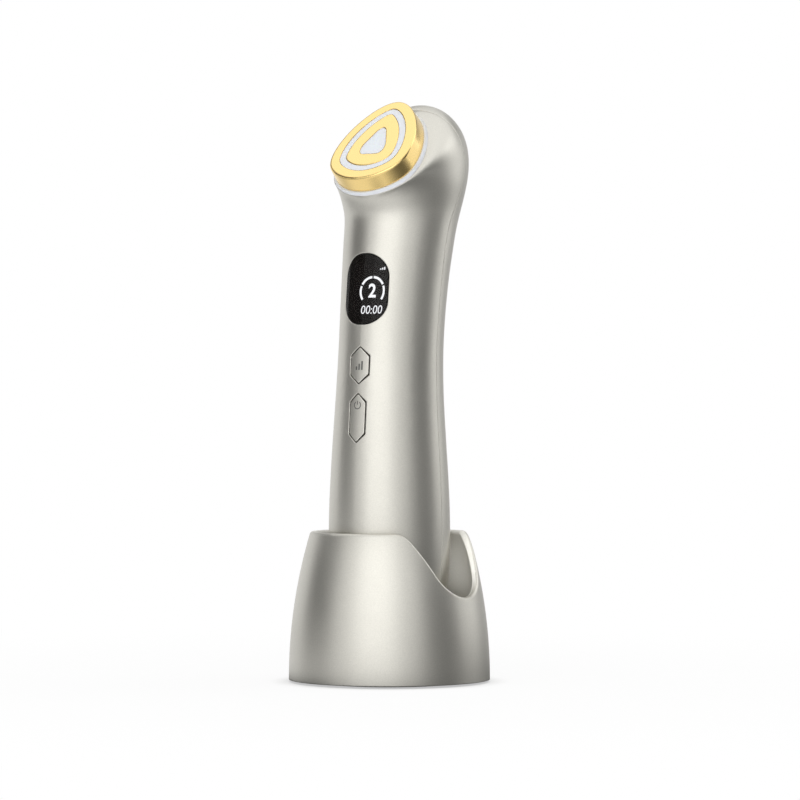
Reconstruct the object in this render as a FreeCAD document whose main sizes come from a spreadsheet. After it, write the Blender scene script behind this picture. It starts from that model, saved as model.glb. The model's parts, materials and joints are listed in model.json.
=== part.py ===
"""Handheld light therapy device standing in its round charging cradle.

Millimetres, +Z up. The origin is the centre of the cradle's underside, the display looks along -Y and
the cradle's finger scoop is on the +X side.
"""
import FreeCAD
import Part
import Sketcher
import math
import os
import re
from types import SimpleNamespace
from FreeCAD import Placement, Rotation, Vector

SIZES = {
    # cradle
    "cradle_height": 51.0,
    "cradle_radius": 34.2,
    "cradle_wall": 2.4,
    "rim_gap": 3.9,
    "edge_lift": 0.8,
    "scoop_depth": 21.6,
    "scoop_radius": 13.5,
    "scoop_slope": 25.0,
    "scoop_flare": 6.0,
    "scoop_lip": 0.6,
    "scoop_edge": 0.7,
    "ledge_width": 1.8,
    "ledge_height": 2.0,
    "foot_height": 1.2,
    "foot_width": 5.0,
    "base_thickness": 2.2,
    "ballast_bore": 8.0,
    "post_radius": 2.7,
    "boss_radius": 2.2,
    "boss_spread": 11.0,
    "boss_set_back": 4.0,
    "charge_board_radius": 16.0,
    "charge_board_drop": 6.0,
    "charge_board_lift": 1.0,
    "inlet_width": 9.0,
    "inlet_height": 3.2,
    "inlet_length": 7.3,
    "inlet_recess": 1.6,
    # seat of the handset
    "seat_height": 18.0,
    "deck_thickness": 2.4,
    "cup_height": 11.0,
    "cup_wall": 2.0,
    "cup_gap": 0.5,
    "cup_lead_in": 0.8,
    # charging contacts
    "contact_spread": 5.0,
    "contact_set_forward": 6.0,
    "pin_radius": 1.0,
    "pin_length": 5.0,
    "pin_round": 0.7,
    "sleeve_wall": 0.7,
    "pad_radius": 2.5,
    # handset grip, with rises measured from the seat
    "foot_radius": 17.5,
    "grip_radius": 20.85,
    "grip_rise": 32.0,
    "waist_radius": 18.05,
    "waist_rise": 97.0,
    "neck_radius": 19.5,
    "neck_rise": 138.0,
    "bend_rise": 62.0,
    "neck_set_back": 7.0,
    "grip_four_sided": 0.26,
    "foot_fillet": 5.0,
    "shell_wall": 2.0,
    "floor_wall": 2.4,
    "seam_gap": 0.24,
    "seam_set_back": 0.8,
    "head_seam_set_back": 13.4,
    # treatment head, with heights measured up from the plane that the head is mounted on
    "head_tilt": 48.0,
    "head_reach": 30.0,
    "dome_back_swell": 11.8,
    "dome_side_swell": 4.4,
    "head_stretch": 1.5,
    "head_three_sided": 1.14,
    "head_corner_trim": 0.13,
    "ring_radius": 18.4,
    "ring_height": 1.2,
    "end_wall": 1.8,
    "pocket_depth": 9.0,
    "electrode_foot": 17.5,
    "electrode_radius": 17.1,
    "electrode_height": 5.9,
    "electrode_wall": 1.5,
    "electrode_round": 0.9,
    "guide_radius": 13.2,
    "inner_electrode_radius": 10.8,
    "lens_radius": 5.75,
    "lens_side_share": 0.65,
    "lens_side_lean": 23.0,
    "lens_sink": 0.2,
    "stack_height": 3.8,
    "carrier_flange": 1.6,
    "lamp_radius": 1.5,
    "lamp_height": 1.8,
    # display
    "window_width": 17.0,
    "window_height": 24.0,
    "window_corner": 7.8,
    "window_rise": 115.0,
    "window_lean": 5.8,
    "window_depth": 3.6,
    "panel_width": 12.6,
    "panel_height": 16.6,
    "panel_thickness": 1.6,
    "frame_margin": 0.7,
    "frame_floor": 1.2,
    "frame_leg_spread": 5.0,
    "frame_leg_rise": 7.2,
    # buttons
    "level_width": 7.0,
    "level_height": 12.2,
    "level_point": 3.2,
    "level_rise": 88.5,
    "mode_width": 5.9,
    "mode_height": 16.2,
    "mode_point": 3.0,
    "mode_rise": 70.8,
    "button_round": 0.6,
    "button_gap": 0.45,
    "button_travel": 0.5,
    "button_flange": 1.0,
    "plunger_radius": 1.6,
    "switch_width": 6.2,
    "switch_height": 3.2,
    # boards, battery and chassis
    "main_board_width": 24.0,
    "main_board_height": 72.0,
    "main_board_rise": 93.0,
    "main_board_depth": 5.9,
    "main_board_lean": 3.9,
    "board_thickness": 1.2,
    "board_boss": 2.0,
    "board_screw_spread": 9.6,
    "board_screw_rise": 32.0,
    "chip_width": 6.0,
    "chip_spread": 7.1,
    "chip_drop": 12.5,
    "chassis_width": 24.0,
    "chassis_thickness": 1.6,
    "chassis_foot_rise": 6.0,
    "battery_radius": 9.0,
    "battery_height": 50.0,
    "battery_set_back": 5.5,
    "clip_wall": 1.4,
    "clip_height": 6.0,
    "cover_screw_rise": 16.0,
    "cover_screw_spread": 11.8,
    "cover_post_end": 10.0,
    "cable_width": 8.0,
    "cable_thickness": 0.4,
    # fasteners
    "screw_radius": 0.8,
    "screw_length": 4.4,
    "screw_head_radius": 1.5,
    "screw_head_height": 1.0,
    # clearances
    "touch": 0.02,
    "slip": 0.2,
    "run": 0.3,
}

UP = Vector(0, 0, 1)
ACROSS = Vector(1, 0, 0)
BACK = Vector(0, 1, 0)
OUTLINE_TRACE = 360
OUTLINE_POINTS = 20
CAVITY_POINTS = 16
GRIP_STATIONS = 10
BEND_POWER = 2.4
SEAM_STEPS = 4
# way of the seam from the neck into the head: how far short of its last set back and how far above the neck
SEAM_TURN = ((0.2, 1.7), (0.0, 2.9), (0.0, 5.0))
DOME_RISE = 1.5
DOME_FALL = 0.6
DOME_PEAK = DOME_RISE / (DOME_RISE + DOME_FALL)
CORNER_POWER = 6
STATION_POWER = 1.3
FAR = 120.0

doc = FreeCAD.newDocument("light_therapy_device")
sheet = doc.addObject("Spreadsheet::Sheet", "sizes")
for row, (alias, number) in enumerate(SIZES.items(), start=1):
    sheet.set(f"A{row}", alias)
    sheet.set(f"B{row}", str(number))
    sheet.setAlias(f"B{row}", alias)
doc.recompute()
S = SimpleNamespace(**{alias: float(sheet.get(alias)) for alias in SIZES})
NODES = []


def cells(formula):
    """Point each size named in a formula at its cell of the sheet."""
    return re.sub(r"[a-z_]{3,}", lambda word: "sizes." + word.group(), formula)


def bind(thing, **formulas):
    for name, formula in formulas.items():
        thing.setExpression(name, cells(formula))
    return thing


def node(thing, label):
    """Name a finished sub-part and list it for export."""
    thing.Label = label
    NODES.append(thing)
    return thing


def tilted(y, z, angle):
    """Place a drawing plane in the mid plane of the object, turned about X."""
    return Placement(Vector(0, y, z), Rotation(ACROSS, angle))


# basic solids and booleans

def cylinder(name, radius, height, base, axis=UP):
    """Round bar from sizes given as formulas, or as numbers where a curve sets them."""
    solid = doc.addObject("Part::Cylinder", name)
    for side, measure in (("Radius", radius), ("Height", height)):
        if isinstance(measure, str):
            bind(solid, **{side: measure})
        else:
            setattr(solid, side, measure)
    solid.Placement = Placement(base, Rotation(UP, axis))
    return solid


def fuse(name, pieces):
    joined = doc.addObject("Part::MultiFuse", name)
    joined.Shapes = pieces
    return joined


def group(name, pieces):
    bundle = doc.addObject("Part::Compound", name)
    bundle.Links = pieces
    return bundle


def cut(name, base, tools, refine=True):
    result = doc.addObject("Part::Cut", name)
    result.Base = base
    result.Tool = tools[0] if len(tools) == 1 else fuse(name + "_cuts", tools)
    result.Refine = refine
    return result


def cut_in_turn(name, base, tools):
    """Cut a moulded form with one tool after another, keeping the faces that each cut leaves."""
    for index, tool in enumerate(tools[:-1]):
        base = cut(f"{name}_step_{index}", base, [tool], refine=False)
    return cut(name, base, tools[-1:], refine=False)


def common(name, base, tool):
    result = doc.addObject("Part::Common", name)
    result.Base = base
    result.Tool = tool
    return result


def tube(name, outer, inner, height, base):
    wall = cylinder(name + "_outside", outer, height, base)
    bore = cylinder(name + "_bore", inner, height, base)
    return cut(name, wall, [bore])


def shaped(name, shape):
    feature = doc.addObject("Part::Feature", name)
    feature.Shape = shape
    return feature


def origin_plane(body, role):
    return next(plane for plane in body.Origin.OriginFeatures if plane.Role == role)


def sketch_on(body, role, name):
    sketch = body.newObject("Sketcher::SketchObject", name)
    sketch.AttachmentSupport = (origin_plane(body, role), [""])
    sketch.MapMode = "FlatFace"
    return sketch


def closed_lines(sketch, corners):
    """Draw a closed run of lines through the corners and join their ends."""
    for start, end in zip(corners, corners[1:] + corners[:1]):
        sketch.addGeometry(Part.LineSegment(Vector(*start), Vector(*end)), False)
    count = len(corners)
    for line in range(count):
        sketch.addConstraint(Sketcher.Constraint("Coincident", line, 2, (line + 1) % count, 1))


def size_constraint(sketch, formula, *arguments):
    index = sketch.addConstraint(Sketcher.Constraint(*arguments))
    sketch.setExpression(f"Constraints[{index}]", cells(formula))


def pad(body, sketch, length):
    feature = body.newObject("PartDesign::Pad", sketch.Name + "_pad")
    feature.Profile = sketch
    bind(feature, Length=length)
    doc.recompute()
    return feature


def round_upright_edges(body, feature, radius):
    """Round the edges that run along the pad's own direction."""
    upright = []
    for index, edge in enumerate(feature.Shape.Edges, start=1):
        ends = [vertex.Point for vertex in edge.Vertexes]
        if len(ends) == 2 and (ends[0] - ends[1]).cross(UP).Length < 1e-6:
            upright.append(f"Edge{index}")
    fillet = body.newObject("PartDesign::Fillet", body.Name + "_corners")
    fillet.Base = (feature, upright)
    bind(fillet, Radius=radius)
    return fillet


def plate(name, width, height, corner, thickness, placement):
    """Rectangular plate with rounded corners, drawn about the middle of its own XY plane."""
    body = doc.addObject("PartDesign::Body", name)
    sketch = sketch_on(body, "XY_Plane", name + "_outline")
    closed_lines(sketch, [(-5, -5, 0), (5, -5, 0), (5, 5, 0), (-5, 5, 0)])
    for line, direction in enumerate(("Horizontal", "Vertical", "Horizontal", "Vertical")):
        sketch.addConstraint(Sketcher.Constraint(direction, line))
    sketch.addConstraint(Sketcher.Constraint("Symmetric", 0, 1, 2, 1, -1, 1))
    size_constraint(sketch, width, "DistanceX", 0, 1, 0, 2, 10.0)
    size_constraint(sketch, height, "DistanceY", 1, 1, 1, 2, 10.0)
    round_upright_edges(body, pad(body, sketch, thickness), corner)
    body.Placement = placement
    return body


def screw(name, placement):
    """Pan head screw whose head stands on its own XY plane and whose shank runs down."""
    head = cylinder(name + "_head", "screw_head_radius", "screw_head_height", Vector())
    shank = cylinder(name + "_shank", "screw_radius", "screw_length", Vector(), UP * -1)
    whole = fuse(name, [head, shank])
    whole.Placement = placement
    return whole


# heights shared by the pieces of the cradle

base_top = S.foot_height + S.base_thickness
deck_z = S.seat_height - S.touch - S.deck_thickness
charge_board_top = deck_z - S.charge_board_drop
charge_board_z = charge_board_top - S.board_thickness
ballast_thickness = charge_board_z - S.charge_board_lift - base_top
half_wall = S.cradle_wall / 2
rim_radius = S.grip_radius + S.rim_gap + half_wall
rim_z = S.cradle_height - half_wall
wall_drop = S.cradle_radius - half_wall - rim_radius
wall_rise = rim_z - S.edge_lift
wall_arc = (wall_drop ** 2 + wall_rise ** 2) / (2 * wall_drop)
wall_centre = S.cradle_radius - half_wall - wall_arc


def cradle_inside(z):
    """Inner radius of the cradle's wall at a height."""
    return wall_centre + math.sqrt((wall_arc - half_wall) ** 2 - (z - S.edge_lift) ** 2)


def ring_of(count, radius, start, z):
    angles = [math.radians(start + 360 * step / count) for step in range(count)]
    return [Vector(radius * math.cos(angle), radius * math.sin(angle), z) for angle in angles]


def mirrored(x, y, z):
    return [Vector(-x, y, z), Vector(x, y, z)]


post_circle = cradle_inside(deck_z) - S.post_radius - 2 * S.slip
POST_COUNT = 3
POST_START = 30.0
post_feet = ring_of(POST_COUNT, post_circle, POST_START, base_top)
charge_board_bosses = mirrored(S.boss_spread, S.boss_set_back, charge_board_top)
contacts = mirrored(S.contact_spread, -S.contact_set_forward, 0)
SLEEVE = "pin_radius + run + sleeve_wall"
sleeve_top = S.seat_height - S.deck_thickness / 2


def draw_cradle_profile(sketch):
    """Half section of the cradle's wall: bowed outside and inside, with a rounded rim."""
    centre = Vector(wall_centre, S.edge_lift, 0)
    lean = math.asin(wall_rise / wall_arc)
    outer = Part.Circle(centre, UP, wall_arc + half_wall)
    inner = Part.Circle(centre, UP, wall_arc - half_wall)
    rim = Part.Circle(Vector(rim_radius, rim_z, 0), UP, half_wall)
    sketch.addGeometry(Part.ArcOfCircle(outer, 0, lean), False)
    sketch.addGeometry(Part.ArcOfCircle(rim, lean, lean + math.pi), False)
    sketch.addGeometry(Part.ArcOfCircle(inner, 0, lean), False)
    foot_in = Vector(S.cradle_radius - S.cradle_wall, S.edge_lift, 0)
    foot_out = Vector(S.cradle_radius, S.edge_lift, 0)
    sketch.addGeometry(Part.LineSegment(foot_in, foot_out), False)
    for arguments in (
        ("Tangent", 0, 2, 1, 1),
        ("Tangent", 1, 2, 2, 2),
        ("Coincident", 3, 1, 2, 1),
        ("Coincident", 3, 2, 0, 1),
        ("Coincident", 0, 3, 2, 3),
        ("Horizontal", 3),
        ("PointOnObject", 0, 3, 3),
    ):
        sketch.addConstraint(Sketcher.Constraint(*arguments))
    size_constraint(sketch, "cradle_radius", "DistanceX", -1, 1, 3, 2, S.cradle_radius)
    size_constraint(sketch, "edge_lift", "DistanceY", -1, 1, 3, 2, S.edge_lift)
    size_constraint(sketch, "cradle_wall / 2", "Radius", 1, half_wall)
    size_constraint(sketch, "grip_radius + rim_gap + cradle_wall / 2", "DistanceX", -1, 1, 1, 3, rim_radius)
    size_constraint(sketch, "cradle_height - cradle_wall / 2", "DistanceY", -1, 1, 1, 3, rim_z)


def draw_scoop(sketch):
    """Outline of the finger scoop: round bottom, sloping sides and lips that flare onto the rim."""
    slope = math.radians(S.scoop_slope)
    bottom_z = S.cradle_height - S.scoop_depth
    top_z = S.cradle_height + S.scoop_lip
    bottom_centre = Vector(0, bottom_z + S.scoop_radius, 0)
    side_start = bottom_centre + Vector(math.cos(slope), -math.sin(slope), 0) * S.scoop_radius
    flare_drop = S.scoop_flare * (1 - math.sin(slope))
    side_length = (top_z - flare_drop - side_start.y) / math.cos(slope)
    side_end = side_start + Vector(math.sin(slope), math.cos(slope), 0) * side_length
    flare_centre = side_end + Vector(math.cos(slope), -math.sin(slope), 0) * S.scoop_flare
    lip = Vector(flare_centre.x, top_z, 0)
    roof = Vector(flare_centre.x, top_z + S.scoop_flare, 0)

    def flip(point):
        return Vector(-point.x, point.y, 0)

    bottom = Part.Circle(bottom_centre, UP, S.scoop_radius)
    right_flare = Part.Circle(flare_centre, UP, S.scoop_flare)
    left_flare = Part.Circle(flip(flare_centre), UP, S.scoop_flare)
    sketch.addGeometry(Part.ArcOfCircle(bottom, math.pi + slope, 2 * math.pi - slope), False)
    sketch.addGeometry(Part.LineSegment(side_start, side_end), False)
    sketch.addGeometry(Part.ArcOfCircle(right_flare, math.pi / 2, math.pi - slope), False)
    sketch.addGeometry(Part.LineSegment(lip, roof), False)
    sketch.addGeometry(Part.LineSegment(roof, flip(roof)), False)
    sketch.addGeometry(Part.LineSegment(flip(roof), flip(lip)), False)
    sketch.addGeometry(Part.ArcOfCircle(left_flare, slope, math.pi / 2), False)
    sketch.addGeometry(Part.LineSegment(flip(side_end), flip(side_start)), False)
    for arguments in (
        ("Tangent", 0, 2, 1, 1),
        ("Tangent", 1, 2, 2, 2),
        ("Coincident", 2, 1, 3, 1),
        ("Coincident", 3, 2, 4, 1),
        ("Coincident", 4, 2, 5, 1),
        ("Coincident", 5, 2, 6, 2),
        ("Tangent", 6, 1, 7, 1),
        ("Tangent", 7, 2, 0, 1),
        ("PointOnObject", 0, 3, -2),
        ("Symmetric", 1, 2, 7, 1, -2),
        ("Vertical", 2, 3, 2, 1),
        ("Vertical", 6, 3, 6, 2),
        ("Vertical", 3),
        ("Vertical", 5),
        ("Horizontal", 4),
    ):
        sketch.addConstraint(Sketcher.Constraint(*arguments))
    size_constraint(sketch, "cradle_height - scoop_depth + scoop_radius",
                    "DistanceY", -1, 1, 0, 3, bottom_centre.y)
    size_constraint(sketch, "cradle_height + scoop_lip", "DistanceY", -1, 1, 2, 1, top_z)
    size_constraint(sketch, "cradle_height + scoop_lip + scoop_flare", "DistanceY", -1, 1, 3, 2, roof.y)
    size_constraint(sketch, "(90 - scoop_slope) * 1 °", "Angle", 1, math.pi / 2 - slope)
    size_constraint(sketch, "scoop_radius", "Radius", 0, S.scoop_radius)
    size_constraint(sketch, "scoop_flare", "Radius", 2, S.scoop_flare)
    size_constraint(sketch, "scoop_flare", "Radius", 6, S.scoop_flare)


def scoop_edges(pocket):
    """Edges where the scoop's cut meets the wall, named for the edge rounding."""
    counts = {}
    for face in pocket.Shape.Faces:
        mid_u, mid_v = [sum(pair) / 2 for pair in (face.ParameterRange[:2], face.ParameterRange[2:])]
        normal = face.normalAt(mid_u, mid_v)
        faces_along = abs(normal.x) < 1e-6 and abs(normal.z) < 1 - 1e-6
        runs_across = faces_along or face.CenterOfMass.x > rim_radius / 2
        straight = isinstance(face.Surface, (Part.Plane, Part.Cylinder))
        if straight and runs_across and face.CenterOfMass.z > S.cradle_height - S.scoop_depth - 1:
            for edge in face.Edges:
                counts[edge.hashCode()] = counts.get(edge.hashCode(), 0) + 1
    return [
        f"Edge{index}"
        for index, edge in enumerate(pocket.Shape.Edges, start=1)
        if counts.get(edge.hashCode()) == 1
    ]


def make_cradle_shell():
    """Bowed outer wall of the cradle with its inner ledge, finger scoop and opening for the power inlet."""
    body = doc.addObject("PartDesign::Body", "cradle_wall_body")
    profile = sketch_on(body, "XZ_Plane", "cradle_profile")
    draw_cradle_profile(profile)
    turned = body.newObject("PartDesign::Revolution", "cradle_turned")
    turned.Profile = profile
    turned.ReferenceAxis = (profile, ["V_Axis"])
    turned.Angle = 360
    doc.recompute()
    scoop = sketch_on(body, "YZ_Plane", "scoop_outline")
    draw_scoop(scoop)
    pocket = body.newObject("PartDesign::Pocket", "scoop_cut")
    pocket.Profile = scoop
    pocket.Reversed = True
    bind(pocket, Length="2 * cradle_radius")
    doc.recompute()
    if pocket.Shape.Volume >= turned.Shape.Volume:
        raise ValueError("the scoop cuts nothing")
    rounded = body.newObject("PartDesign::Fillet", "scoop_rounding")
    rounded.Base = (pocket, scoop_edges(pocket))
    bind(rounded, Radius="scoop_edge")
    ledge_z = deck_z - S.ledge_height
    ledge_base = Vector(0, 0, ledge_z)
    ledge_outer = cylinder("ledge_outside", "cradle_radius - cradle_wall", "ledge_height", ledge_base)
    ledge_inner = "cradle_radius - 2 * cradle_wall - ledge_width"
    ledge_bore = cylinder("ledge_bore", ledge_inner, "ledge_height", ledge_base)
    ledge_cuts = [ledge_bore]
    for index, foot in enumerate(post_feet):
        way = Vector(foot.x, foot.y, ledge_z)
        ledge_cuts.append(cylinder(f"ledge_post_way_{index}", "post_radius + run", "ledge_height", way))
    ledge = cut("cradle_ledge", ledge_outer, ledge_cuts)
    inlet_z = charge_board_top + S.inlet_height / 2
    opening = plate("inlet_opening", "inlet_width + 2 * run", "inlet_height + 2 * run", "inlet_height / 2",
                    "2 * cradle_wall + ledge_width + 4 * inlet_recess",
                    Placement(Vector(0, S.cradle_radius + S.inlet_recess, inlet_z), Rotation(ACROSS, 90)))
    wall = fuse("cradle_wall_and_ledge", [body, ledge])
    return node(cut("cradle_shell", wall, [opening]), "cradle_shell")


def make_cradle_seat():
    """Deck inside the cradle with the cup for the handset's foot, and posts for the base and board."""
    deck_radius = cradle_inside(S.seat_height) - S.slip
    deck = cylinder("seat_deck", deck_radius, "deck_thickness", Vector(0, 0, deck_z))
    seat_top = Vector(0, 0, deck_z + S.deck_thickness)
    cup_bore = grip_front_at(S.cup_height) + S.cup_gap
    cup = tube("seat_cup", cup_bore + S.cup_wall, cup_bore, "cup_height", seat_top)
    lead_in = doc.addObject("Part::Cone", "cup_lead_in")
    lead_in.Radius1 = cup_bore
    lead_in.Radius2 = cup_bore + S.cup_lead_in
    bind(lead_in, Height="cup_lead_in")
    lead_in.Placement = Placement(seat_top + UP * (S.cup_height - S.cup_lead_in), Rotation())
    adds = [deck, cut("seat_cup_wall", cup, [lead_in])]
    holes = []
    for index, foot in enumerate(post_feet):
        adds.append(cylinder(f"seat_post_{index}", "post_radius", deck_z - base_top, foot))
        holes.append(cylinder(f"seat_post_hole_{index}", "screw_radius + slip / 4", "screw_length", foot))
    for index, foot in enumerate(charge_board_bosses):
        adds.append(cylinder(f"seat_boss_{index}", "boss_radius", deck_z - charge_board_top, foot))
        holes.append(cylinder(f"seat_boss_hole_{index}", "screw_radius + slip / 4", "screw_length", foot))
    for index, place in enumerate(contacts):
        sleeve_way = place + Vector(0, 0, deck_z)
        holes.append(cylinder(f"sleeve_way_{index}", SLEEVE + " + slip", "deck_thickness", sleeve_way))
    return node(cut("cradle_seat", fuse("seat_blank", adds), holes), "cradle_seat")


def make_cradle_base():
    """Base plate with its counterbored screws, rubber foot ring and steel ballast."""
    bottom = Vector(0, 0, S.foot_height)
    disc = cylinder("base_disc", cradle_inside(S.edge_lift) - S.slip, "base_thickness", bottom)
    holes = []
    screws = []
    for index, foot in enumerate(post_feet):
        under = Vector(foot.x, foot.y, S.foot_height)
        holes.append(cylinder(f"base_hole_{index}", "screw_radius + slip", "base_thickness", under))
        sink_depth = "screw_head_height + slip"
        holes.append(cylinder(f"base_sink_{index}", "screw_head_radius + slip", sink_depth, under))
        head_seat = under + Vector(0, 0, S.screw_head_height + S.slip)
        screws.append(screw(f"base_screw_{index}", Placement(head_seat, Rotation(ACROSS, 180))))
    for index, foot in enumerate(charge_board_bosses):
        head_seat = Vector(foot.x, foot.y, charge_board_z)
        screws.append(screw(f"charge_board_screw_{index}", Placement(head_seat, Rotation(ACROSS, 180))))
    node(cut("cradle_base_plate", disc, holes), "cradle_base_plate")
    node(group("cradle_screws", screws), "cradle_screws")
    foot_outer = post_circle - S.screw_head_radius - 3 * S.slip
    foot = tube("foot_ring", foot_outer, foot_outer - S.foot_width, "foot_height", Vector())
    node(foot, "cradle_foot_ring")
    weight_outer = post_circle - S.post_radius - S.slip
    weight = tube("ballast", weight_outer, "ballast_bore", ballast_thickness, Vector(0, 0, base_top))
    node(weight, "cradle_ballast")


def make_charge_board():
    """Charging board with its tongue, the power inlet at the back and the two sprung contact pins."""
    level = Vector(0, 0, charge_board_z)
    disc = cylinder("charge_disc", "charge_board_radius", "board_thickness", level)
    tongue_end = S.cradle_radius - S.cradle_wall - 5 * S.run
    tongue = plate("charge_tongue", "inlet_width + 10 * run", "cradle_radius - cradle_wall - 5 * run",
                   "run", "board_thickness", Placement(level + BACK * (tongue_end / 2), Rotation()))
    holes = []
    for index, foot in enumerate(charge_board_bosses):
        under = Vector(foot.x, foot.y, charge_board_z)
        holes.append(cylinder(f"charge_hole_{index}", "screw_radius + slip", "board_thickness", under))
    node(cut("charge_board", fuse("charge_board_blank", [disc, tongue]), holes), "charge_board")
    mouth_middle = Vector(0, S.cradle_radius - S.inlet_recess, charge_board_top + S.inlet_height / 2)
    mouth = Placement(mouth_middle, Rotation(ACROSS, 90))
    can = plate("inlet_can", "inlet_width", "inlet_height", "inlet_height / 2 - slip / 2", "inlet_length",
                mouth)
    hollow = plate("inlet_hollow", "inlet_width - 2 * run", "inlet_height - 2 * run",
                   "inlet_height / 2 - run - slip / 2", "inlet_length - 5 * run", mouth)
    blade = plate("inlet_blade", "inlet_width - 8 * run", "2 * run", "run / 2", "inlet_length - 2 * run",
                  offset(mouth, 0, 0, 2 * S.run))
    node(fuse("charge_inlet", [cut("inlet_shroud", can, [hollow]), blade]), "charge_inlet")
    sleeves = []
    for side, place in zip(("left", "right"), contacts):
        foot = place + Vector(0, 0, charge_board_top)
        barrel = cylinder(f"{side}_barrel", SLEEVE, sleeve_top - charge_board_top, foot)
        bore_foot = foot + Vector(0, 0, S.sleeve_wall)
        bore = cylinder(f"{side}_bore", "pin_radius + run", sleeve_top - bore_foot.z, bore_foot)
        sleeves.append(cut(f"{side}_sleeve", barrel, [bore]))
        pin_foot = place + Vector(0, 0, S.seat_height - S.slip / 4 - S.pin_length)
        bar = cylinder(f"{side}_pin_bar", "pin_radius", "pin_length", pin_foot)
        node(rounded(f"{side}_charge_pin", bar, lambda edge: edge.BoundBox.ZMin > pin_foot.z + S.pin_round,
                     S.pin_round), f"{side}_charge_pin")
    node(group("charge_pin_sleeves", sleeves), "charge_pin_sleeves")


# outer form of the handset

def grip_radius_at(rise):
    """Radius of the round grip: swelling from its foot, narrowing to a waist, widening to the neck."""
    if rise <= S.grip_rise:
        left = 1 - rise / S.grip_rise
        return S.grip_radius - (S.grip_radius - S.foot_radius) * left ** 2
    if rise <= S.waist_rise:
        share = (rise - S.grip_rise) / (S.waist_rise - S.grip_rise)
        return S.grip_radius - (S.grip_radius - S.waist_radius) * share ** 2 * (3 - 2 * share)
    share = (rise - S.waist_rise) / (S.neck_rise - S.waist_rise)
    return S.waist_radius + (S.neck_radius - S.waist_radius) * share ** 2


def spine_at(rise):
    """How far back the middle of the grip lies, as it bends towards the neck."""
    bend = max(0.0, rise - S.bend_rise) / (S.neck_rise - S.bend_rise)
    return S.neck_set_back * bend ** BEND_POWER


def grip_front_at(rise):
    """Reach of the grip to its front, back and sides, where its soft corners are."""
    return grip_radius_at(rise) + S.grip_four_sided


def smooth_loop(traced, count):
    """Closed smooth curve through points spaced evenly along a traced loop."""
    points = Part.makePolygon(traced).discretize(Number=count + 1)[:-1]
    steps = [step / count for step in range(count + 1)]
    curve = Part.BSplineCurve()
    curve.interpolate(Points=points, PeriodicFlag=True, Parameters=steps)
    return Part.Wire([curve.toShape()])


def full_turn():
    return [math.pi + 2 * math.pi * step / OUTLINE_TRACE for step in range(OUTLINE_TRACE + 1)]


def outline(radius, placement, waves, count=OUTLINE_POINTS):
    """Circle made longer, three-sided or four-sided by waves, given as number of sides and height."""
    traced = []
    for turn in full_turn():
        reach = radius + sum(height * math.cos(sides * turn) for sides, height in waves.items())
        swing = -sum(height * sides * math.sin(sides * turn) for sides, height in waves.items())
        across = reach * math.sin(turn) + swing * math.cos(turn)
        along = reach * math.cos(turn) - swing * math.sin(turn)
        traced.append(placement.multVec(Vector(across, along, 0)))
    return smooth_loop(traced, count)


HEAD_WAVES = {2: S.head_stretch, 3: S.head_three_sided, 5: -S.head_corner_trim}
GRIP_WAVES = {4: S.grip_four_sided}


def head_outline(radius, placement):
    """Soft triangle of the treatment head. Different radii give curves that run side by side."""
    return outline(radius, placement, HEAD_WAVES)


def lens_outline(radius, placement):
    """Small triangle with bowed sides and round corners, for the centre of the head."""
    lean = math.radians(S.lens_side_lean)
    side_x = math.cos(lean) / S.lens_side_share
    side_y = math.sin(lean) / S.lens_side_share
    traced = []
    for turn in full_turn():
        ray = Vector(math.sin(turn), math.cos(turn), 0)
        press = sum(max(0.0, side.dot(ray)) ** 2 for side in
                    (Vector(0, -1, 0), Vector(side_x, side_y, 0), Vector(-side_x, side_y, 0)))
        traced.append(placement.multVec(ray * (radius / math.sqrt(press))))
    return smooth_loop(traced, OUTLINE_POINTS)


def offset(placement, x, y, z):
    return placement.multiply(Placement(Vector(x, y, z), Rotation()))


def between(start, end, share):
    return start + (end - start) * share


def head_station(share, reach):
    """Section plane of the head, swung forward about a line ahead of the neck."""
    tilt = S.head_tilt * share
    swing = math.radians(tilt)
    pivot_y = S.neck_set_back - S.head_reach
    height = S.seat_height + S.neck_rise + reach * math.sin(swing)
    return tilted(pivot_y + reach * math.cos(swing), height, tilt)


def dome_swell(share):
    """Share of the dome's swelling on the way from the neck, 0, to the light ring, 1."""
    return (share / DOME_PEAK) ** DOME_RISE * ((1 - share) / (1 - DOME_PEAK)) ** DOME_FALL


def head_section(share, inset, count):
    """Section of the head between the round neck and the outline of the light ring."""
    ring_front = S.head_reach - S.ring_radius - S.head_stretch + S.head_three_sided
    ring_back = S.head_reach + S.ring_radius + S.head_stretch + S.head_three_sided
    ring_side = S.ring_radius - S.head_stretch
    swell = dome_swell(share)
    front = between(S.head_reach - S.neck_radius, ring_front, share)
    back = between(S.head_reach + S.neck_radius, ring_back, share) + S.dome_back_swell * swell
    side = between(S.neck_radius, ring_side, share) + S.dome_side_swell * swell
    half_length = (back - front) / 2
    radius = (half_length + side) / 2
    corners = share ** CORNER_POWER
    waves = {
        2: (half_length - side) / 2,
        3: S.head_three_sided * corners,
        4: S.grip_four_sided * (1 - share),
        5: -S.head_corner_trim * corners,
    }
    middle = front + half_length - S.head_three_sided * corners
    return outline(radius - inset, head_station(share, middle), waves, count)


# shares of the way from the neck to the light ring where the head's sections are drawn
HEAD_STATIONS = (0.25, 0.5, 0.7, 0.86, 0.95)
CAVITY_HEAD_STATIONS = (0.25, 0.5, 0.7, 0.83)
head_plane = head_station(1, S.head_reach)


def grip_sections(inset, first_rise, count):
    """Round sections of the grip from its foot to the neck, drawing closer together on the way."""
    wires = []
    for step in range(GRIP_STATIONS + 1):
        rise = between(S.neck_rise, first_rise, (1 - step / GRIP_STATIONS) ** STATION_POWER)
        place = tilted(spine_at(rise), S.seat_height + rise, 0)
        wires.append(outline(grip_radius_at(rise) - inset, place, GRIP_WAVES, count))
    return wires


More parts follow.
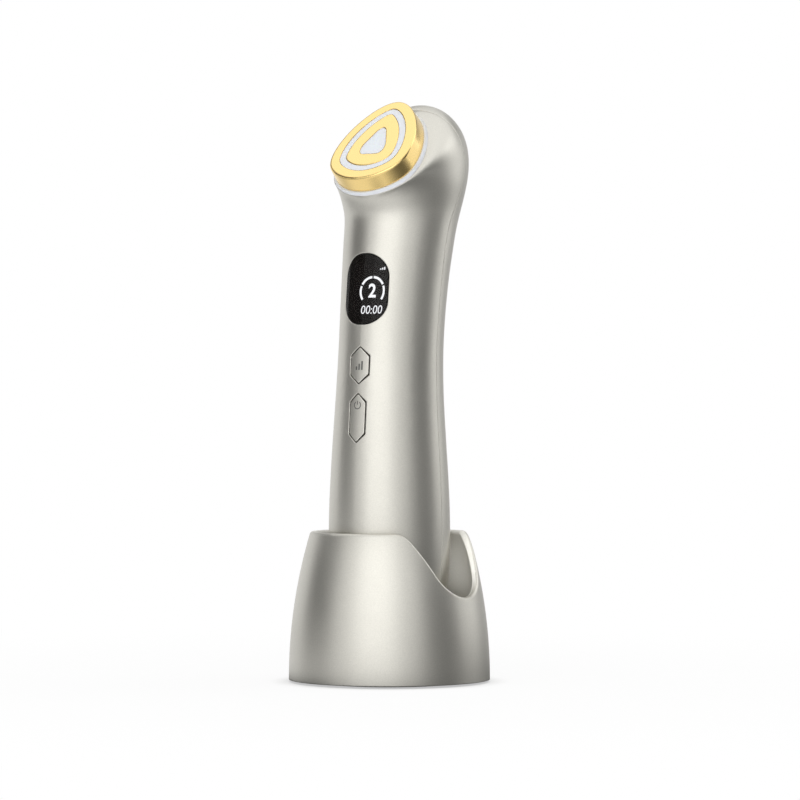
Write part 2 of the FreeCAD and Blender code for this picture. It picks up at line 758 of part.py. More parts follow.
def foot_rounded(solid, foot_round):
    """Round the edge of a solid's flat foot."""
    foot_z = solid.BoundBox.ZMin
    foot_edges = [edge for edge in solid.Edges if edge.BoundBox.ZMax < foot_z + 0.01]
    return solid.makeFillet(foot_round, foot_edges)


def seam_region(shift, side):
    """Everything on one side of the seam, which follows the spine and stands upright through the head."""
    rises = [-S.seat_height, S.grip_rise]
    rises += [S.bend_rise + (S.neck_rise - S.bend_rise) * step / SEAM_STEPS for step in range(SEAM_STEPS)]
    line = [Vector(-FAR, spine_at(rise) + S.seam_set_back + shift, S.seat_height + rise) for rise in rises]
    neck_z = S.seat_height + S.neck_rise
    bend = S.head_seam_set_back - S.neck_set_back
    line.append(Vector(-FAR, S.neck_set_back + S.seam_set_back + shift, neck_z))
    for short, above in SEAM_TURN:
        line.append(Vector(-FAR, S.head_seam_set_back - bend * short + shift, neck_z + bend * above))
    line.append(Vector(-FAR, S.head_seam_set_back + shift, neck_z + FAR))
    curve = Part.BSplineCurve()
    curve.interpolate(line)
    top = Vector(-FAR, side * FAR, line[-1].z)
    bottom = Vector(-FAR, side * FAR, line[0].z)
    edges = [curve.toShape()]
    for start, end in ((line[-1], top), (top, bottom), (bottom, line[0])):
        edges.append(Part.makeLine(start, end))
    return Part.Face(Part.Wire(edges)).extrude(ACROSS * (2 * FAR))


def make_housing():
    """Front shell and rear cover: one moulded form, hollowed out and parted at the seam."""
    outer = grip_sections(0, 0, OUTLINE_POINTS)
    outer += [head_section(share, 0, OUTLINE_POINTS) for share in HEAD_STATIONS]
    outer.append(head_outline(S.ring_radius, head_plane))
    form = shaped("housing_form", foot_rounded(Part.makeLoft(outer, True, False), S.foot_fillet))
    inner = grip_sections(S.shell_wall, S.floor_wall, CAVITY_POINTS)
    inner += [head_section(share, S.shell_wall, CAVITY_POINTS) for share in CAVITY_HEAD_STATIONS]
    cavity = shaped("housing_cavity", Part.makeLoft(inner, True, False))
    mouth = head_bar("head_mouth", CARRIER + S.slip / 2, -2 * S.end_wall, S.ring_height)
    pocket = head_bar("head_pocket", S.ring_radius - S.shell_wall, -S.pocket_depth, -S.end_wall)
    wall = cut_in_turn("housing_wall", form, [cavity, pocket, mouth])
    front = cut_in_turn("front_blank", wall, [shaped("behind_seam", seam_region(-S.seam_gap / 2, 1))])
    rear = cut_in_turn("rear_blank", wall, [shaped("ahead_of_seam", seam_region(S.seam_gap / 2, -1))])
    return form, front, rear


# pieces of the treatment head, stacked along its own axis

def head_bar(name, radius, low, high, top_radius=None, draw=head_outline):
    """Solid bar of one of the head's outlines between two heights above the head's mounting plane."""
    foot = draw(radius, offset(head_plane, 0, 0, low))
    top = draw(top_radius or radius, offset(head_plane, 0, 0, high))
    return shaped(name, Part.makeLoft([foot, top], True, True))


def head_edges(height):
    """Picker for the edges that lie at one height of the head."""
    back = head_plane.inverse()

    def lies_there(edge):
        return all(abs(back.multVec(point).z - height) < 0.01 for point in edge.discretize(5))

    return lies_there


def rounded(name, base, picks, radius):
    """Round the picked edges of a piece."""
    doc.recompute()
    fillet = doc.addObject("Part::Fillet", name)
    fillet.Base = base
    edges = [index for index, edge in enumerate(base.Shape.Edges, start=1) if picks(edge)]
    fillet.Edges = [(index, radius, radius) for index in edges]
    return fillet


CARRIER = S.electrode_radius - S.electrode_wall
face_height = S.ring_height + S.electrode_height
stack_low = face_height - S.stack_height
board_low = -S.end_wall - S.carrier_flange
LAMP_COUNT = 9


def lamp_places(z):
    """Even spots along the middle of the white ring, and one in the middle of the head."""
    middle = (S.guide_radius + S.inner_electrode_radius) / 2
    spots = head_outline(middle, offset(head_plane, 0, 0, z)).discretize(LAMP_COUNT + 1)[:-1]
    return spots + [head_plane.multVec(Vector(0, 0, z))]


def make_head():
    """Treatment head: light ring, two gold electrodes, white light pieces, carrier, lamps and their board."""
    axis = head_plane.Rotation.multVec(UP)
    ring = head_bar("light_ring_blank", S.ring_radius, 0, S.ring_height, S.ring_radius - S.run)
    ring_hole = head_bar("light_ring_hole", CARRIER + S.slip / 2, -1, face_height)
    node(cut("light_ring", ring, [ring_hole]), "light_ring")

    cap = head_bar("electrode_blank", S.electrode_foot, S.ring_height, face_height, S.electrode_radius)
    under = head_bar("electrode_under", CARRIER + S.slip / 2, 0, face_height - S.electrode_wall)
    hole = head_bar("electrode_hole", S.guide_radius + S.slip / 2, 0, face_height + 1)
    dome = rounded("electrode_dome", cap, head_edges(face_height), S.electrode_round)
    node(cut("outer_electrode", dome, [under, hole]), "outer_electrode")

    low = face_height - S.lens_sink
    guide = head_bar("guide_blank", S.guide_radius, stack_low, low)
    guide_hole = head_bar("guide_hole", S.inner_electrode_radius + S.slip / 2, 0, face_height)
    node(cut("light_guide_ring", guide, [guide_hole]), "light_guide_ring")
    inner = head_bar("inner_electrode_blank", S.inner_electrode_radius, stack_low, face_height)
    inner_hole = head_bar("inner_electrode_hole", S.lens_radius + S.slip / 2, 0, face_height + 1,
                          draw=lens_outline)
    crown = rounded("inner_electrode_crown", inner, head_edges(face_height), S.run)
    node(cut("inner_electrode", crown, [inner_hole]), "inner_electrode")
    node(head_bar("centre_lens", S.lens_radius, stack_low, low, draw=lens_outline), "centre_lens")

    core = head_bar("carrier_core", CARRIER, board_low, face_height - S.electrode_wall)
    flange = head_bar("carrier_rim", S.ring_radius - S.shell_wall - 3 * S.slip, board_low, -S.end_wall)
    well = head_bar("carrier_well", S.guide_radius + S.slip / 2, stack_low, face_height)
    wells = [well]
    lamps = []
    for index, spot in enumerate(lamp_places(board_low)):
        well_depth = stack_low - board_low
        wells.append(cylinder(f"lamp_well_{index}", "lamp_radius + 2 * slip", well_depth, spot, axis))
        lamps.append(cylinder(f"lamp_{index}", "lamp_radius", "lamp_height", spot, axis))
    node(cut("head_carrier", fuse("carrier_blank", [core, flange]), wells), "head_carrier")
    node(group("lamps", lamps), "lamps")
    node(head_bar("lamp_board", CARRIER - S.slip, board_low - S.board_thickness, board_low), "lamp_board")


# display and buttons on the front

board_plane = tilted(-S.main_board_depth, S.seat_height + S.main_board_rise, 90 - S.main_board_lean)
window_plane = tilted(spine_at(S.window_rise) - grip_front_at(S.window_rise), S.seat_height + S.window_rise,
                      90 - S.window_lean)


def board_row(rise):
    """Height along the main board that lies at a rise of the handset."""
    return (rise - S.main_board_rise) / math.cos(math.radians(S.main_board_lean))


def make_display(form):
    """Black window flush with the grip, the display panel behind it and the frame that holds both."""
    bar = plate("window_bar", "window_width", "window_height", "window_corner", "2 * window_depth",
                offset(window_plane, 0, 0, -S.window_depth))
    node(common("display_window", form, bar), "display_window")
    panel_back = -S.window_depth - S.slip - S.panel_thickness
    node(plate("display_panel", "panel_width", "panel_height", "frame_margin", "panel_thickness",
               offset(window_plane, 0, 0, panel_back)), "display_panel")
    floor_back = panel_back - S.frame_floor
    rim = plate("frame_rim", "window_width - frame_margin", "window_height - frame_margin",
                "window_corner - frame_margin / 2", "frame_floor + panel_thickness + slip",
                offset(window_plane, 0, 0, floor_back))
    pocket = plate("frame_pocket", "panel_width + slip", "panel_height + slip", "frame_margin",
                   "2 * panel_thickness", offset(window_plane, 0, 0, panel_back))
    legs = []
    for index, spot in enumerate(frame_leg_spots()):
        top = S.board_thickness + frame_lift() + S.frame_floor
        legs.append(cylinder(f"frame_leg_{index}", "plunger_radius", top - S.board_thickness,
                             board_plane.multVec(Vector(spot[0], spot[1], S.board_thickness)),
                             board_plane.Rotation.multVec(UP)))
    node(cut("display_frame", fuse("frame_blank", [rim] + legs), [pocket]), "display_frame")
    return plate("window_hole", "window_width + 2 * slip", "window_height + 2 * slip", "window_corner + slip",
                 "4 * window_depth", offset(window_plane, 0, 0, -2 * S.window_depth))


def frame_leg_spots():
    middle = board_row(S.window_rise)
    return [(x, middle + y) for x in (-S.frame_leg_spread, S.frame_leg_spread)
            for y in (-S.frame_leg_rise, S.frame_leg_rise)]


def frame_lift():
    """Gap between the main board and the back of the display frame, at the frame's lowest leg."""
    back = -S.window_depth - 2 * S.slip - S.panel_thickness - S.frame_floor
    heights = []
    for y in (-S.frame_leg_rise, S.frame_leg_rise):
        heights.append(board_plane.inverse().multVec(window_plane.multVec(Vector(0, y, back))).z)
    return min(heights) - S.board_thickness


def hexagon(name, width, height, point, length, placement):
    """Upright bar with a pointed top and bottom, drawn about the middle of its own XY plane."""
    body = doc.addObject("PartDesign::Body", name)
    sketch = sketch_on(body, "XY_Plane", name + "_outline")
    closed_lines(sketch, [(0, 6, 0), (4, 3, 0), (4, -3, 0), (0, -6, 0), (-4, -3, 0), (-4, 3, 0)])
    for arguments in (
        ("PointOnObject", 0, 1, -2),
        ("Symmetric", 0, 1, 2, 2, -1, 1),
        ("Symmetric", 0, 2, 4, 2, -2),
        ("Symmetric", 0, 2, 1, 2, -1),
        ("Symmetric", 4, 1, 4, 2, -1),
    ):
        sketch.addConstraint(Sketcher.Constraint(*arguments))
    size_constraint(sketch, width, "DistanceX", 4, 2, 0, 2, 8.0)
    size_constraint(sketch, height, "DistanceY", 2, 2, 0, 1, 12.0)
    size_constraint(sketch, point, "DistanceY", 0, 2, 0, 1, 3.0)
    round_upright_edges(body, pad(body, sketch, length), "button_round")
    body.Placement = placement
    return body


def front_level(rise):
    """Height of the grip's front above the back of the main board."""
    skin = Vector(0, spine_at(rise) - grip_front_at(rise), S.seat_height + rise)
    return board_plane.inverse().multVec(skin).z


def make_button(kind, form):
    """One push button with its flange and stem, its switch on the board and the switch's plunger."""
    rise = getattr(S, kind + "_rise")
    half_width = getattr(S, kind + "_width") / 2 + S.button_flange
    row = board_row(rise)
    axis = board_plane.Rotation.multVec(UP)
    half_height = getattr(S, kind + "_height") / 2 + S.button_flange
    skin_level = min(front_level(rise + step) for step in (-half_height, 0, half_height))
    inside = grip_radius_at(rise) - S.shell_wall
    sag = inside - math.sqrt(inside ** 2 - half_width ** 2)
    flange_top = skin_level - S.shell_wall - sag - 2 * S.run
    flange_low = flange_top - S.button_flange
    switch_top = S.board_thickness + S.switch_height
    plunger_top = switch_top + 2 * S.button_travel
    bar = hexagon(f"{kind}_bar", f"{kind}_width", f"{kind}_height", f"{kind}_point", "4 * window_depth",
                  offset(board_plane, 0, row, flange_low))
    cap = common(f"{kind}_cap", form, bar)
    flange = hexagon(f"{kind}_flange", f"{kind}_width + 2 * button_flange",
                     f"{kind}_height + 2 * button_flange", f"{kind}_point", "button_flange",
                     offset(board_plane, 0, row, flange_low))
    stem = cylinder(f"{kind}_stem", "plunger_radius", flange_low - plunger_top,
                    board_plane.multVec(Vector(0, row, plunger_top)), axis)
    node(fuse(f"{kind}_button", [cap, flange, stem]), f"{kind}_button")
    plunger_low = switch_top - 2 * S.button_travel
    plunger = cylinder(f"{kind}_plunger", "plunger_radius", plunger_top - plunger_low,
                       board_plane.multVec(Vector(0, row, plunger_low)), axis)
    node(plunger, f"{kind}_plunger")
    can = plate(f"{kind}_switch_can", "switch_width", "switch_width", "button_round", "switch_height",
                offset(board_plane, 0, row, S.board_thickness))
    way_low = plunger_low - 1.5 * S.button_travel
    way = cylinder(f"{kind}_plunger_way", "plunger_radius + run", switch_top - way_low,
                   board_plane.multVec(Vector(0, row, way_low)), axis)
    node(cut(f"{kind}_switch", can, [way]), f"{kind}_switch")
    return hexagon(f"{kind}_hole", f"{kind}_width + 2 * button_gap", f"{kind}_height + 2 * button_gap",
                   f"{kind}_point", "4 * window_depth", offset(board_plane, 0, row, flange_top))


# boards, battery and chassis inside the handset

def board_screw_spots():
    return [(x, y) for x in (-S.board_screw_spread, S.board_screw_spread)
            for y in (-S.board_screw_rise, S.board_screw_rise)]


def make_boards():
    """Main board with its chips and screws, the contact board with its pads, and the cable to the head."""
    axis = board_plane.Rotation.multVec(UP)
    blank = plate("main_board_blank", "main_board_width", "main_board_height", "board_boss",
                  "board_thickness", board_plane)
    holes = []
    screws = []
    for index, (x, y) in enumerate(board_screw_spots()):
        spot = board_plane.multVec(Vector(x, y, 0))
        holes.append(cylinder(f"board_hole_{index}", "screw_radius + slip", "board_thickness", spot, axis))
        screws.append(screw(f"board_screw_{index}", offset(board_plane, x, y, S.board_thickness)))
    node(cut("main_board", blank, holes), "main_board")
    node(group("board_screws", screws), "board_screws")
    chips = []
    chip_spots = [(-S.chip_spread, -S.chip_drop), (S.chip_spread, -S.chip_drop), (0, -S.board_screw_rise)]
    for index, (x, y) in enumerate(chip_spots):
        chips.append(plate(f"chip_{index}", "chip_width", "chip_width", "slip", "board_thickness",
                           offset(board_plane, x, y, S.board_thickness)))
    node(group("board_chips", chips), "board_chips")

    floor_z = S.seat_height + S.floor_wall
    pads = []
    for index, place in enumerate(contacts):
        pad_foot = place + Vector(0, 0, S.seat_height)
        pads.append(cylinder(f"pad_{index}", "pad_radius", "floor_wall + slip", pad_foot))
    node(group("charge_pads", pads), "charge_pads")
    contact_place = Placement(Vector(0, -S.contact_set_forward, floor_z + S.slip), Rotation())
    node(plate("contact_board", "2 * contact_spread + 3 * pad_radius", "3 * pad_radius", "pad_radius / 2",
               "board_thickness", contact_place), "contact_board")
    node(shaped("head_cable", head_cable_shape()), "head_cable")


def head_cable_shape():
    """Flat cable that lies on the back of the main board and bends up into the lamp board."""
    board_top = S.main_board_height / 2
    up_board = board_plane.Rotation.multVec(BACK)
    up_head = head_plane.Rotation.multVec(UP)
    lamp_side = board_low - S.board_thickness - S.touch
    edges = []
    ends = []
    for depth in (0, S.cable_thickness):
        low = board_plane.multVec(Vector(0, board_top - S.cable_width, -S.touch - depth))
        bend = board_plane.multVec(Vector(0, board_top + S.cable_width / 2, -S.touch - depth))
        top = head_plane.multVec(Vector(0, depth - S.cable_width, lamp_side))
        curve = Part.BSplineCurve()
        curve.interpolate(Points=[bend, top], InitialTangent=up_board, FinalTangent=up_head)
        edges += [Part.makeLine(low, bend), curve.toShape()]
        ends.append((low, top))
    edges += [Part.makeLine(front, back) for front, back in zip(*ends)]
    face = Part.Face(Part.Wire(Part.__sortEdges__(edges)))
    face.translate(ACROSS * (-S.cable_width / 2))
    return face.extrude(ACROSS * S.cable_width)


def make_chassis():
    """Spine that carries the main board, clips the battery and takes the rear cover's screws."""
    axis = board_plane.Rotation.multVec(UP)
    plate_low = -S.board_boss - S.chassis_thickness
    foot_row = board_row(S.chassis_foot_rise)
    head_row = S.board_screw_rise + 2 * S.board_boss
    spine = doc.addObject("Part::Box", "chassis_spine")
    bind(spine, Length="chassis_width", Height="chassis_thickness")
    spine.Width = head_row - foot_row
    spine.Placement = offset(board_plane, -S.chassis_width / 2, foot_row, plate_low)
    foot_z = S.seat_height + S.chassis_foot_rise
    foot_disc = cylinder("chassis_foot", grip_radius_at(S.chassis_foot_rise) - S.shell_wall - 5 * S.slip,
                         "chassis_thickness", Vector(0, 0, foot_z))
    adds = [spine, foot_disc]
    holes = []
    floor_z = S.seat_height + S.floor_wall
    for index, place in enumerate(mirrored(S.battery_radius, S.battery_radius - 5 * S.slip, floor_z)):
        adds.append(cylinder(f"chassis_leg_{index}", "boss_radius", foot_z - floor_z, place))
    for index, (x, y) in enumerate(board_screw_spots()):
        boss = board_plane.multVec(Vector(x, y, plate_low))
        length = "board_boss + chassis_thickness"
        adds.append(cylinder(f"chassis_boss_{index}", "boss_radius", length, boss, axis))
        holes.append(cylinder(f"chassis_boss_hole_{index}", "screw_radius + slip / 4", length, boss, axis))
    battery_z = foot_z + S.chassis_thickness
    for index, lift in enumerate((S.clip_height, S.battery_height - 2.5 * S.clip_height)):
        clip_z = battery_z + lift
        clip_base = Vector(0, S.battery_set_back, clip_z)
        ring = tube(f"clip_ring_{index}", "battery_radius + slip + clip_wall", "battery_radius + slip",
                    "clip_height", clip_base)
        gap = doc.addObject("Part::Box", f"clip_gap_{index}")
        bind(gap, Length="4 * battery_radius", Width="2 * battery_radius", Height="clip_height")
        gap_y = S.battery_set_back + S.battery_radius / 2
        gap.Placement = Placement(Vector(-2 * S.battery_radius, gap_y, clip_z), Rotation())
        adds.append(cut(f"clip_{index}", ring, [gap]))
        row = board_row(clip_z - S.seat_height)
        spine_back = board_plane.multVec(Vector(0, row, plate_low + S.chassis_thickness / 2)).y
        web = doc.addObject("Part::Box", f"clip_web_{index}")
        bind(web, Length="battery_radius", Height="clip_height")
        web.Width = S.battery_set_back - S.battery_radius - S.slip - S.clip_wall / 4 - spine_back
        web.Placement = Placement(Vector(-S.battery_radius / 2, spine_back, clip_z), Rotation())
        keep = cylinder(f"clip_keep_{index}", "battery_radius + slip", "clip_height", clip_base)
        adds.append(cut(f"clip_web_cut_{index}", web, [keep]))
    post_row = board_row(S.cover_screw_rise)
    post_y = board_plane.multVec(Vector(0, post_row, plate_low + S.chassis_thickness / 2)).y
    post_length = S.cover_post_end - post_y
    post_z = S.seat_height + S.cover_screw_rise
    for index, place in enumerate(mirrored(S.cover_screw_spread, post_y, post_z)):
        adds.append(cylinder(f"chassis_post_{index}", "boss_radius", post_length, place, BACK))
        tip = Vector(place.x, S.cover_post_end - S.screw_length, place.z)
        bore = cylinder(f"chassis_post_hole_{index}", "screw_radius + slip / 4", "screw_length", tip, BACK)
        holes.append(bore)
    node(cut("inner_chassis", fuse("chassis_blank", adds), holes), "inner_chassis")
    cell_foot = Vector(0, S.battery_set_back, battery_z)
    cell = cylinder("battery_can", "battery_radius", "battery_height", cell_foot)
    cap = cylinder("battery_cap", "battery_radius / 3", "run * 3", cell_foot + UP * S.battery_height)
    node(fuse("battery_cell", [cell, cap]), "battery_cell")


def finish_shells(form, front, rear, front_holes):
    """Cut the openings of the front shell, and give the rear cover its screw bosses and screws."""
    pad_ways = []
    for index, place in enumerate(contacts):
        pad_ways.append(cylinder(f"pad_way_{index}", "pad_radius + slip / 2", "2 * floor_wall", place
                                 + Vector(0, 0, S.seat_height - S.floor_wall)))
    node(cut_in_turn("front_shell", front, front_holes + pad_ways), "front_shell")
    bosses = []
    holes = []
    screws = []
    head_seat = S.cover_post_end + S.slip + S.floor_wall
    for index, place in enumerate(mirrored(S.cover_screw_spread, 0, S.seat_height + S.cover_screw_rise)):
        foot = place + BACK * (S.cover_post_end + S.slip)
        boss_radius = "screw_head_radius + shell_wall / 2"
        bar = cylinder(f"cover_boss_bar_{index}", boss_radius, "grip_radius", foot, BACK)
        bosses.append(common(f"cover_boss_{index}", form, bar))
        holes.append(cylinder(f"cover_hole_{index}", "screw_radius + slip", "grip_radius", foot, BACK))
        sink = place + BACK * head_seat
        holes.append(cylinder(f"cover_sink_{index}", "screw_head_radius + slip", "grip_radius", sink, BACK))
        screws.append(screw(f"cover_screw_{index}", Placement(sink, Rotation(UP, BACK))))
    whole = fuse("rear_and_bosses", [rear] + bosses)
    whole.Refine = False
    node(cut_in_turn("rear_cover", whole, holes), "rear_cover")
    node(group("cover_screws", screws), "cover_screws")


def sound(shape):
    return not shape.isNull() and shape.isValid() and shape.Solids and shape.Volume > 0


def export():
    """Check every object and sub-part, then write one file for each sub-part."""
    doc.recompute()
    failed = [thing.Name for thing in doc.Objects if {"Invalid", "Error"} & set(thing.State)]
    bad = [thing.Label for thing in NODES if not sound(thing.Shape)]
    if failed or bad:
        raise ValueError(f"failed objects {failed}, bad shapes {bad}")
    os.makedirs("parts", exist_ok=True)
    for thing in NODES:
        thing.Shape.exportStep(f"parts/{thing.Label}.step")
        print(thing.Label, len(thing.Shape.Solids), round(thing.Shape.Volume, 1))


make_cradle_shell()
make_cradle_seat()
make_cradle_base()
make_charge_board()
housing_form, front_blank, rear_blank = make_housing()
make_head()
openings = [make_display(housing_form)]
openings += [make_button(kind, housing_form) for kind in ("level", "mode")]
make_boards()
make_chassis()
finish_shells(housing_form, front_blank, rear_blank, openings)
export()
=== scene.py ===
# %% [markdown]
# A handheld light therapy device that stands in its round charging cradle.
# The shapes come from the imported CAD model. This lesson gives them their finishes, puts the marks on the
# display and the buttons, and sets up a small studio with a camera. Every step first says what the real
# thing is, and then how it is made here.

# %% Load the frame
import json
import math

import bpy
from mathutils import Matrix, Vector
from mathutils.bvhtree import BVHTree


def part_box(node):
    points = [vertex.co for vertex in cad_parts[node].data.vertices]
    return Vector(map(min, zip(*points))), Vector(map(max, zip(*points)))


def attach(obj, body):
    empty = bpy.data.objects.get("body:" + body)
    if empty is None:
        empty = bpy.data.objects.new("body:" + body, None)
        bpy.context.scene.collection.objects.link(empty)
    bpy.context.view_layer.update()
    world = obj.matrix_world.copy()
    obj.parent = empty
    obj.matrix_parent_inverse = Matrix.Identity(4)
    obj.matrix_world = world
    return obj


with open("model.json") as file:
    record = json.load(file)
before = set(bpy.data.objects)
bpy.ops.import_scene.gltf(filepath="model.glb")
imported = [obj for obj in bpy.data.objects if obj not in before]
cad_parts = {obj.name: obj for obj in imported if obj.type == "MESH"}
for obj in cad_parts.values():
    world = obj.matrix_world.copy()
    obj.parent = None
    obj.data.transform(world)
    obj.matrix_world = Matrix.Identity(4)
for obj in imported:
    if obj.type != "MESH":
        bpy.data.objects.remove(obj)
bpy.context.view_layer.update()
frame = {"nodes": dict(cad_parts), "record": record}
scene = bpy.context.scene
nodes = frame["nodes"]
MM = 0.001

# %% [markdown]
# The camera stands level with the middle of the device, about 1.2 m away and to the front right, with a
# long lens, so upright edges stay upright. It could be placed by eye. Here its numbers come from fitting
# the round rims of the cradle: the ratio of a rim's width to its height gives the height of the eye, and
# the widths give the distance. A fitted camera lets the render be compared point by point.

# %% Camera
CAMERA_AZIMUTH = math.radians(34.5)
CAMERA_DISTANCE = 1207 * MM
CAMERA_HEIGHT = 95.6 * MM
CAMERA_ASIDE = 3.6 * MM
CAMERA_FIELD = math.radians(12.86)

towards_eye = Vector((math.sin(CAMERA_AZIMUTH), -math.cos(CAMERA_AZIMUTH), 0))
image_right = Vector((math.cos(CAMERA_AZIMUTH), math.sin(CAMERA_AZIMUTH), 0))
camera_data = bpy.data.cameras.new("eye")
camera_data.angle = CAMERA_FIELD
camera = bpy.data.objects.new("eye", camera_data)
eye_level = Vector((0, 0, CAMERA_HEIGHT))
camera.location = towards_eye * CAMERA_DISTANCE + image_right * CAMERA_ASIDE + eye_level
camera.rotation_euler = (math.pi / 2, 0, CAMERA_AZIMUTH)
scene.collection.objects.link(camera)
scene.camera = camera
scene.view_settings.view_transform = "Standard"
print("camera at", [round(value, 3) for value in camera.location])

# %% [markdown]
# Materials are small networks of nodes. They could be drawn by hand in the shader editor. In a script a
# few helpers keep them short: one fills an input with a number or a link, one adds a node, two do sums on
# numbers and on vectors, one blends softly from one number to another, and one starts an empty material.

# %% Node helpers


def feed(tree, socket, value):
    """Link a socket to another one, or set it to a plain value."""
    if isinstance(value, bpy.types.NodeSocket):
        tree.links.new(value, socket)
    else:
        socket.default_value = value


def add_node(tree, kind, **values):
    """New node with its named inputs filled. A _ in a name stands for a space."""
    made = tree.nodes.new(kind)
    for label, value in values.items():
        feed(tree, made.inputs[label.replace("_", " ")], value)
    return made


def sum_node(tree, operation, first, second=0.0):
    """Result of a sum on two values, each a socket or a number."""
    made = tree.nodes.new("ShaderNodeMath")
    made.operation = operation
    feed(tree, made.inputs[0], first)
    feed(tree, made.inputs[1], second)
    return made.outputs["Value"]


def vector_node(tree, operation, first, second=(0.0, 0.0, 0.0)):
    """Vector Math node on two vectors, each a socket or three numbers."""
    made = tree.nodes.new("ShaderNodeVectorMath")
    made.operation = operation
    feed(tree, made.inputs[0], first)
    feed(tree, made.inputs[1], second)
    return made


def soft_step(tree, value, low, high, start=0.0, end=1.0):
    """Number that goes smoothly from start to end while the value goes from low to high."""
    made = add_node(tree, "ShaderNodeMapRange", Value=value, From_Min=low, From_Max=high, To_Min=start,
                    To_Max=end)
    made.interpolation_type = "SMOOTHSTEP"
    return made.outputs["Result"]


def new_material(name):
    """Empty material: itself, its node tree and its output node."""
    material = bpy.data.materials.new(name)
    material.use_nodes = True
    tree = material.node_tree
    tree.nodes.clear()
    return material, tree, tree.nodes.new("ShaderNodeOutputMaterial")


print("node helpers ready")

# %% [markdown]
# The studio floor is a sheet of white paper that lies flat and turns up into a wall behind the device.
# To the camera it is nearly plain white, and only a part of its own shading stays, which keeps the faint
# shadow around the foot. A white ground could also come from more light, but that would wash out the
# device. In reflections the far paper is white like the wall. Near the device the reflected paper is
# painted: bright in front and to the left, dim to the right, and dark right at the foot as a painted shadow.

# %% Studio floor
PAPER_COLOUR = (0.93, 0.93, 0.93, 1)
# Share of plain white that the camera sees at the foot and near it. A reach is from and to, in metres.
CONTACT_WHITE = 0.5
CONTACT_REACH = (0.034, 0.042)
WHITE_NEAR = 0.88
SHADOW_REACH = (0.05, 0.30)
# Painted brightness of the paper in reflections, with painted shade to the right and a painted shadow at the
# foot. A turn goes from -1, straight left of the device, to 1, straight right of it.
PAINTED_FOOT_SHADE = 0.12
FOOT_REACH = (0.034, 0.075)
MIRROR_FRONT = 0.92
MIRROR_LEFT = 0.40
LEFT_REACH = (0.14, 0.35)
LEFT_TURN = (-1.0, -0.3)
MIRROR_RIGHT = 0.14
RIGHT_TURN = (0.0, 0.9)
MIRROR_REACH = (0.4, 1.4)
WALL_RIGHT = 0.5
WALL_TURN = (0.05, 0.55)
WALL_TOP = 0.1
WALL_FADE = (1.0, 2.2)


def floor_sheet(half_width, front, back, height, turn, steps=12):
    """Flat floor with a quarter round up into a wall, along the camera's line of sight."""
    profile = [(-front, 0.0)]
    for step in range(steps + 1):
        angle = math.pi / 2 * step / steps
        profile.append((back + turn * math.sin(angle), turn * (1 - math.cos(angle))))
    profile.append((back + turn, height))
    points = []
    for away, up in profile:
        for side in (-half_width, half_width):
            points.append(image_right * side - towards_eye * away + Vector((0, 0, up)))
    faces = [(2 * row, 2 * row + 1, 2 * row + 3, 2 * row + 2) for row in range(len(profile) - 1)]
    mesh = bpy.data.meshes.new("studio_floor")
    mesh.from_pydata(points, [], faces)
    mesh.shade_smooth()
    sheet = bpy.data.objects.new("studio_floor", mesh)
    scene.collection.objects.link(sheet)
    return sheet


def make_paper():
    """Diffuse paper, mixed with plain white for rays that look at it, and with a painted glow for rays that
    mirror it.
    """
    material, tree, output = new_material("studio_paper")
    shaded = add_node(tree, "ShaderNodeBsdfDiffuse", Color=PAPER_COLOUR)
    place = tree.nodes.new("ShaderNodeTexCoord").outputs["Object"]
    distance = vector_node(tree, "LENGTH", place).outputs["Value"]
    outwards = vector_node(tree, "NORMALIZE", place).outputs["Vector"]
    aside = vector_node(tree, "DOT_PRODUCT", outwards, image_right).outputs["Value"]
    # What reflections see is painted: bright in front and to the left, painted shade to the right, and a
    # painted shadow at the foot.
    far_left = soft_step(tree, aside, *LEFT_TURN, start=MIRROR_LEFT, end=MIRROR_FRONT)
    left_glow = soft_step(tree, distance, *LEFT_REACH, start=MIRROR_FRONT, end=far_left)
    near_glow = soft_step(tree, aside, *RIGHT_TURN, start=left_glow, end=MIRROR_RIGHT)
    foot_glow = soft_step(tree, distance, *FOOT_REACH, start=PAINTED_FOOT_SHADE, end=near_glow)
    wall_glow = soft_step(tree, aside, *WALL_TURN, start=1.0, end=WALL_RIGHT)
    height = add_node(tree, "ShaderNodeSeparateXYZ", Vector=place).outputs["Z"]
    far_glow = soft_step(tree, height, *WALL_FADE, start=wall_glow, end=WALL_TOP)
    painted_mirror_glow = soft_step(tree, distance, *MIRROR_REACH, start=foot_glow, end=far_glow)
    contact_white = soft_step(tree, distance, *CONTACT_REACH, start=CONTACT_WHITE, end=WHITE_NEAR)
    seen_white = soft_step(tree, distance, *SHADOW_REACH, start=contact_white)
    ray = tree.nodes.new("ShaderNodeLightPath").outputs
    mirrored = sum_node(tree, "MAXIMUM", ray["Is Glossy Ray"], ray["Is Transmission Ray"])
    seen = sum_node(tree, "MULTIPLY", ray["Is Camera Ray"], seen_white)
    glow = sum_node(tree, "MAXIMUM", ray["Is Camera Ray"], painted_mirror_glow)
    white = add_node(tree, "ShaderNodeEmission", Strength=glow)
    blend = add_node(tree, "ShaderNodeMixShader", Fac=sum_node(tree, "MAXIMUM", seen, mirrored))
    tree.links.new(shaded.outputs["BSDF"], blend.inputs[1])
    tree.links.new(white.outputs["Emission"], blend.inputs[2])
    tree.links.new(blend.outputs["Shader"], output.inputs["Surface"])
    return material


floor = floor_sheet(half_width=4.5, front=1.6, back=2.0, height=4.0, turn=0.6)
floor.data.materials.append(make_paper())
print("floor", len(floor.data.polygons), "faces")

# %% [markdown]
# A satin surface mirrors its surroundings blurred, so the lamps are drawn into it. A wide and a narrower
# soft box beside the camera lie over each other and make the stripe down the grip, which is brightest in
# its middle. A strip to the right makes the bright edge, and a large box above lights the gold face and
# the domed back of the head. The grey room between them leaves the dark bands. A narrow spot reaches into
# the finger scoop, where hardly any other light gets. The ceiling is paler than the walls, and a camera
# that looks past the paper sees plain white. A picture of a studio could light the device too, but lamps
# are easier to move one by one.

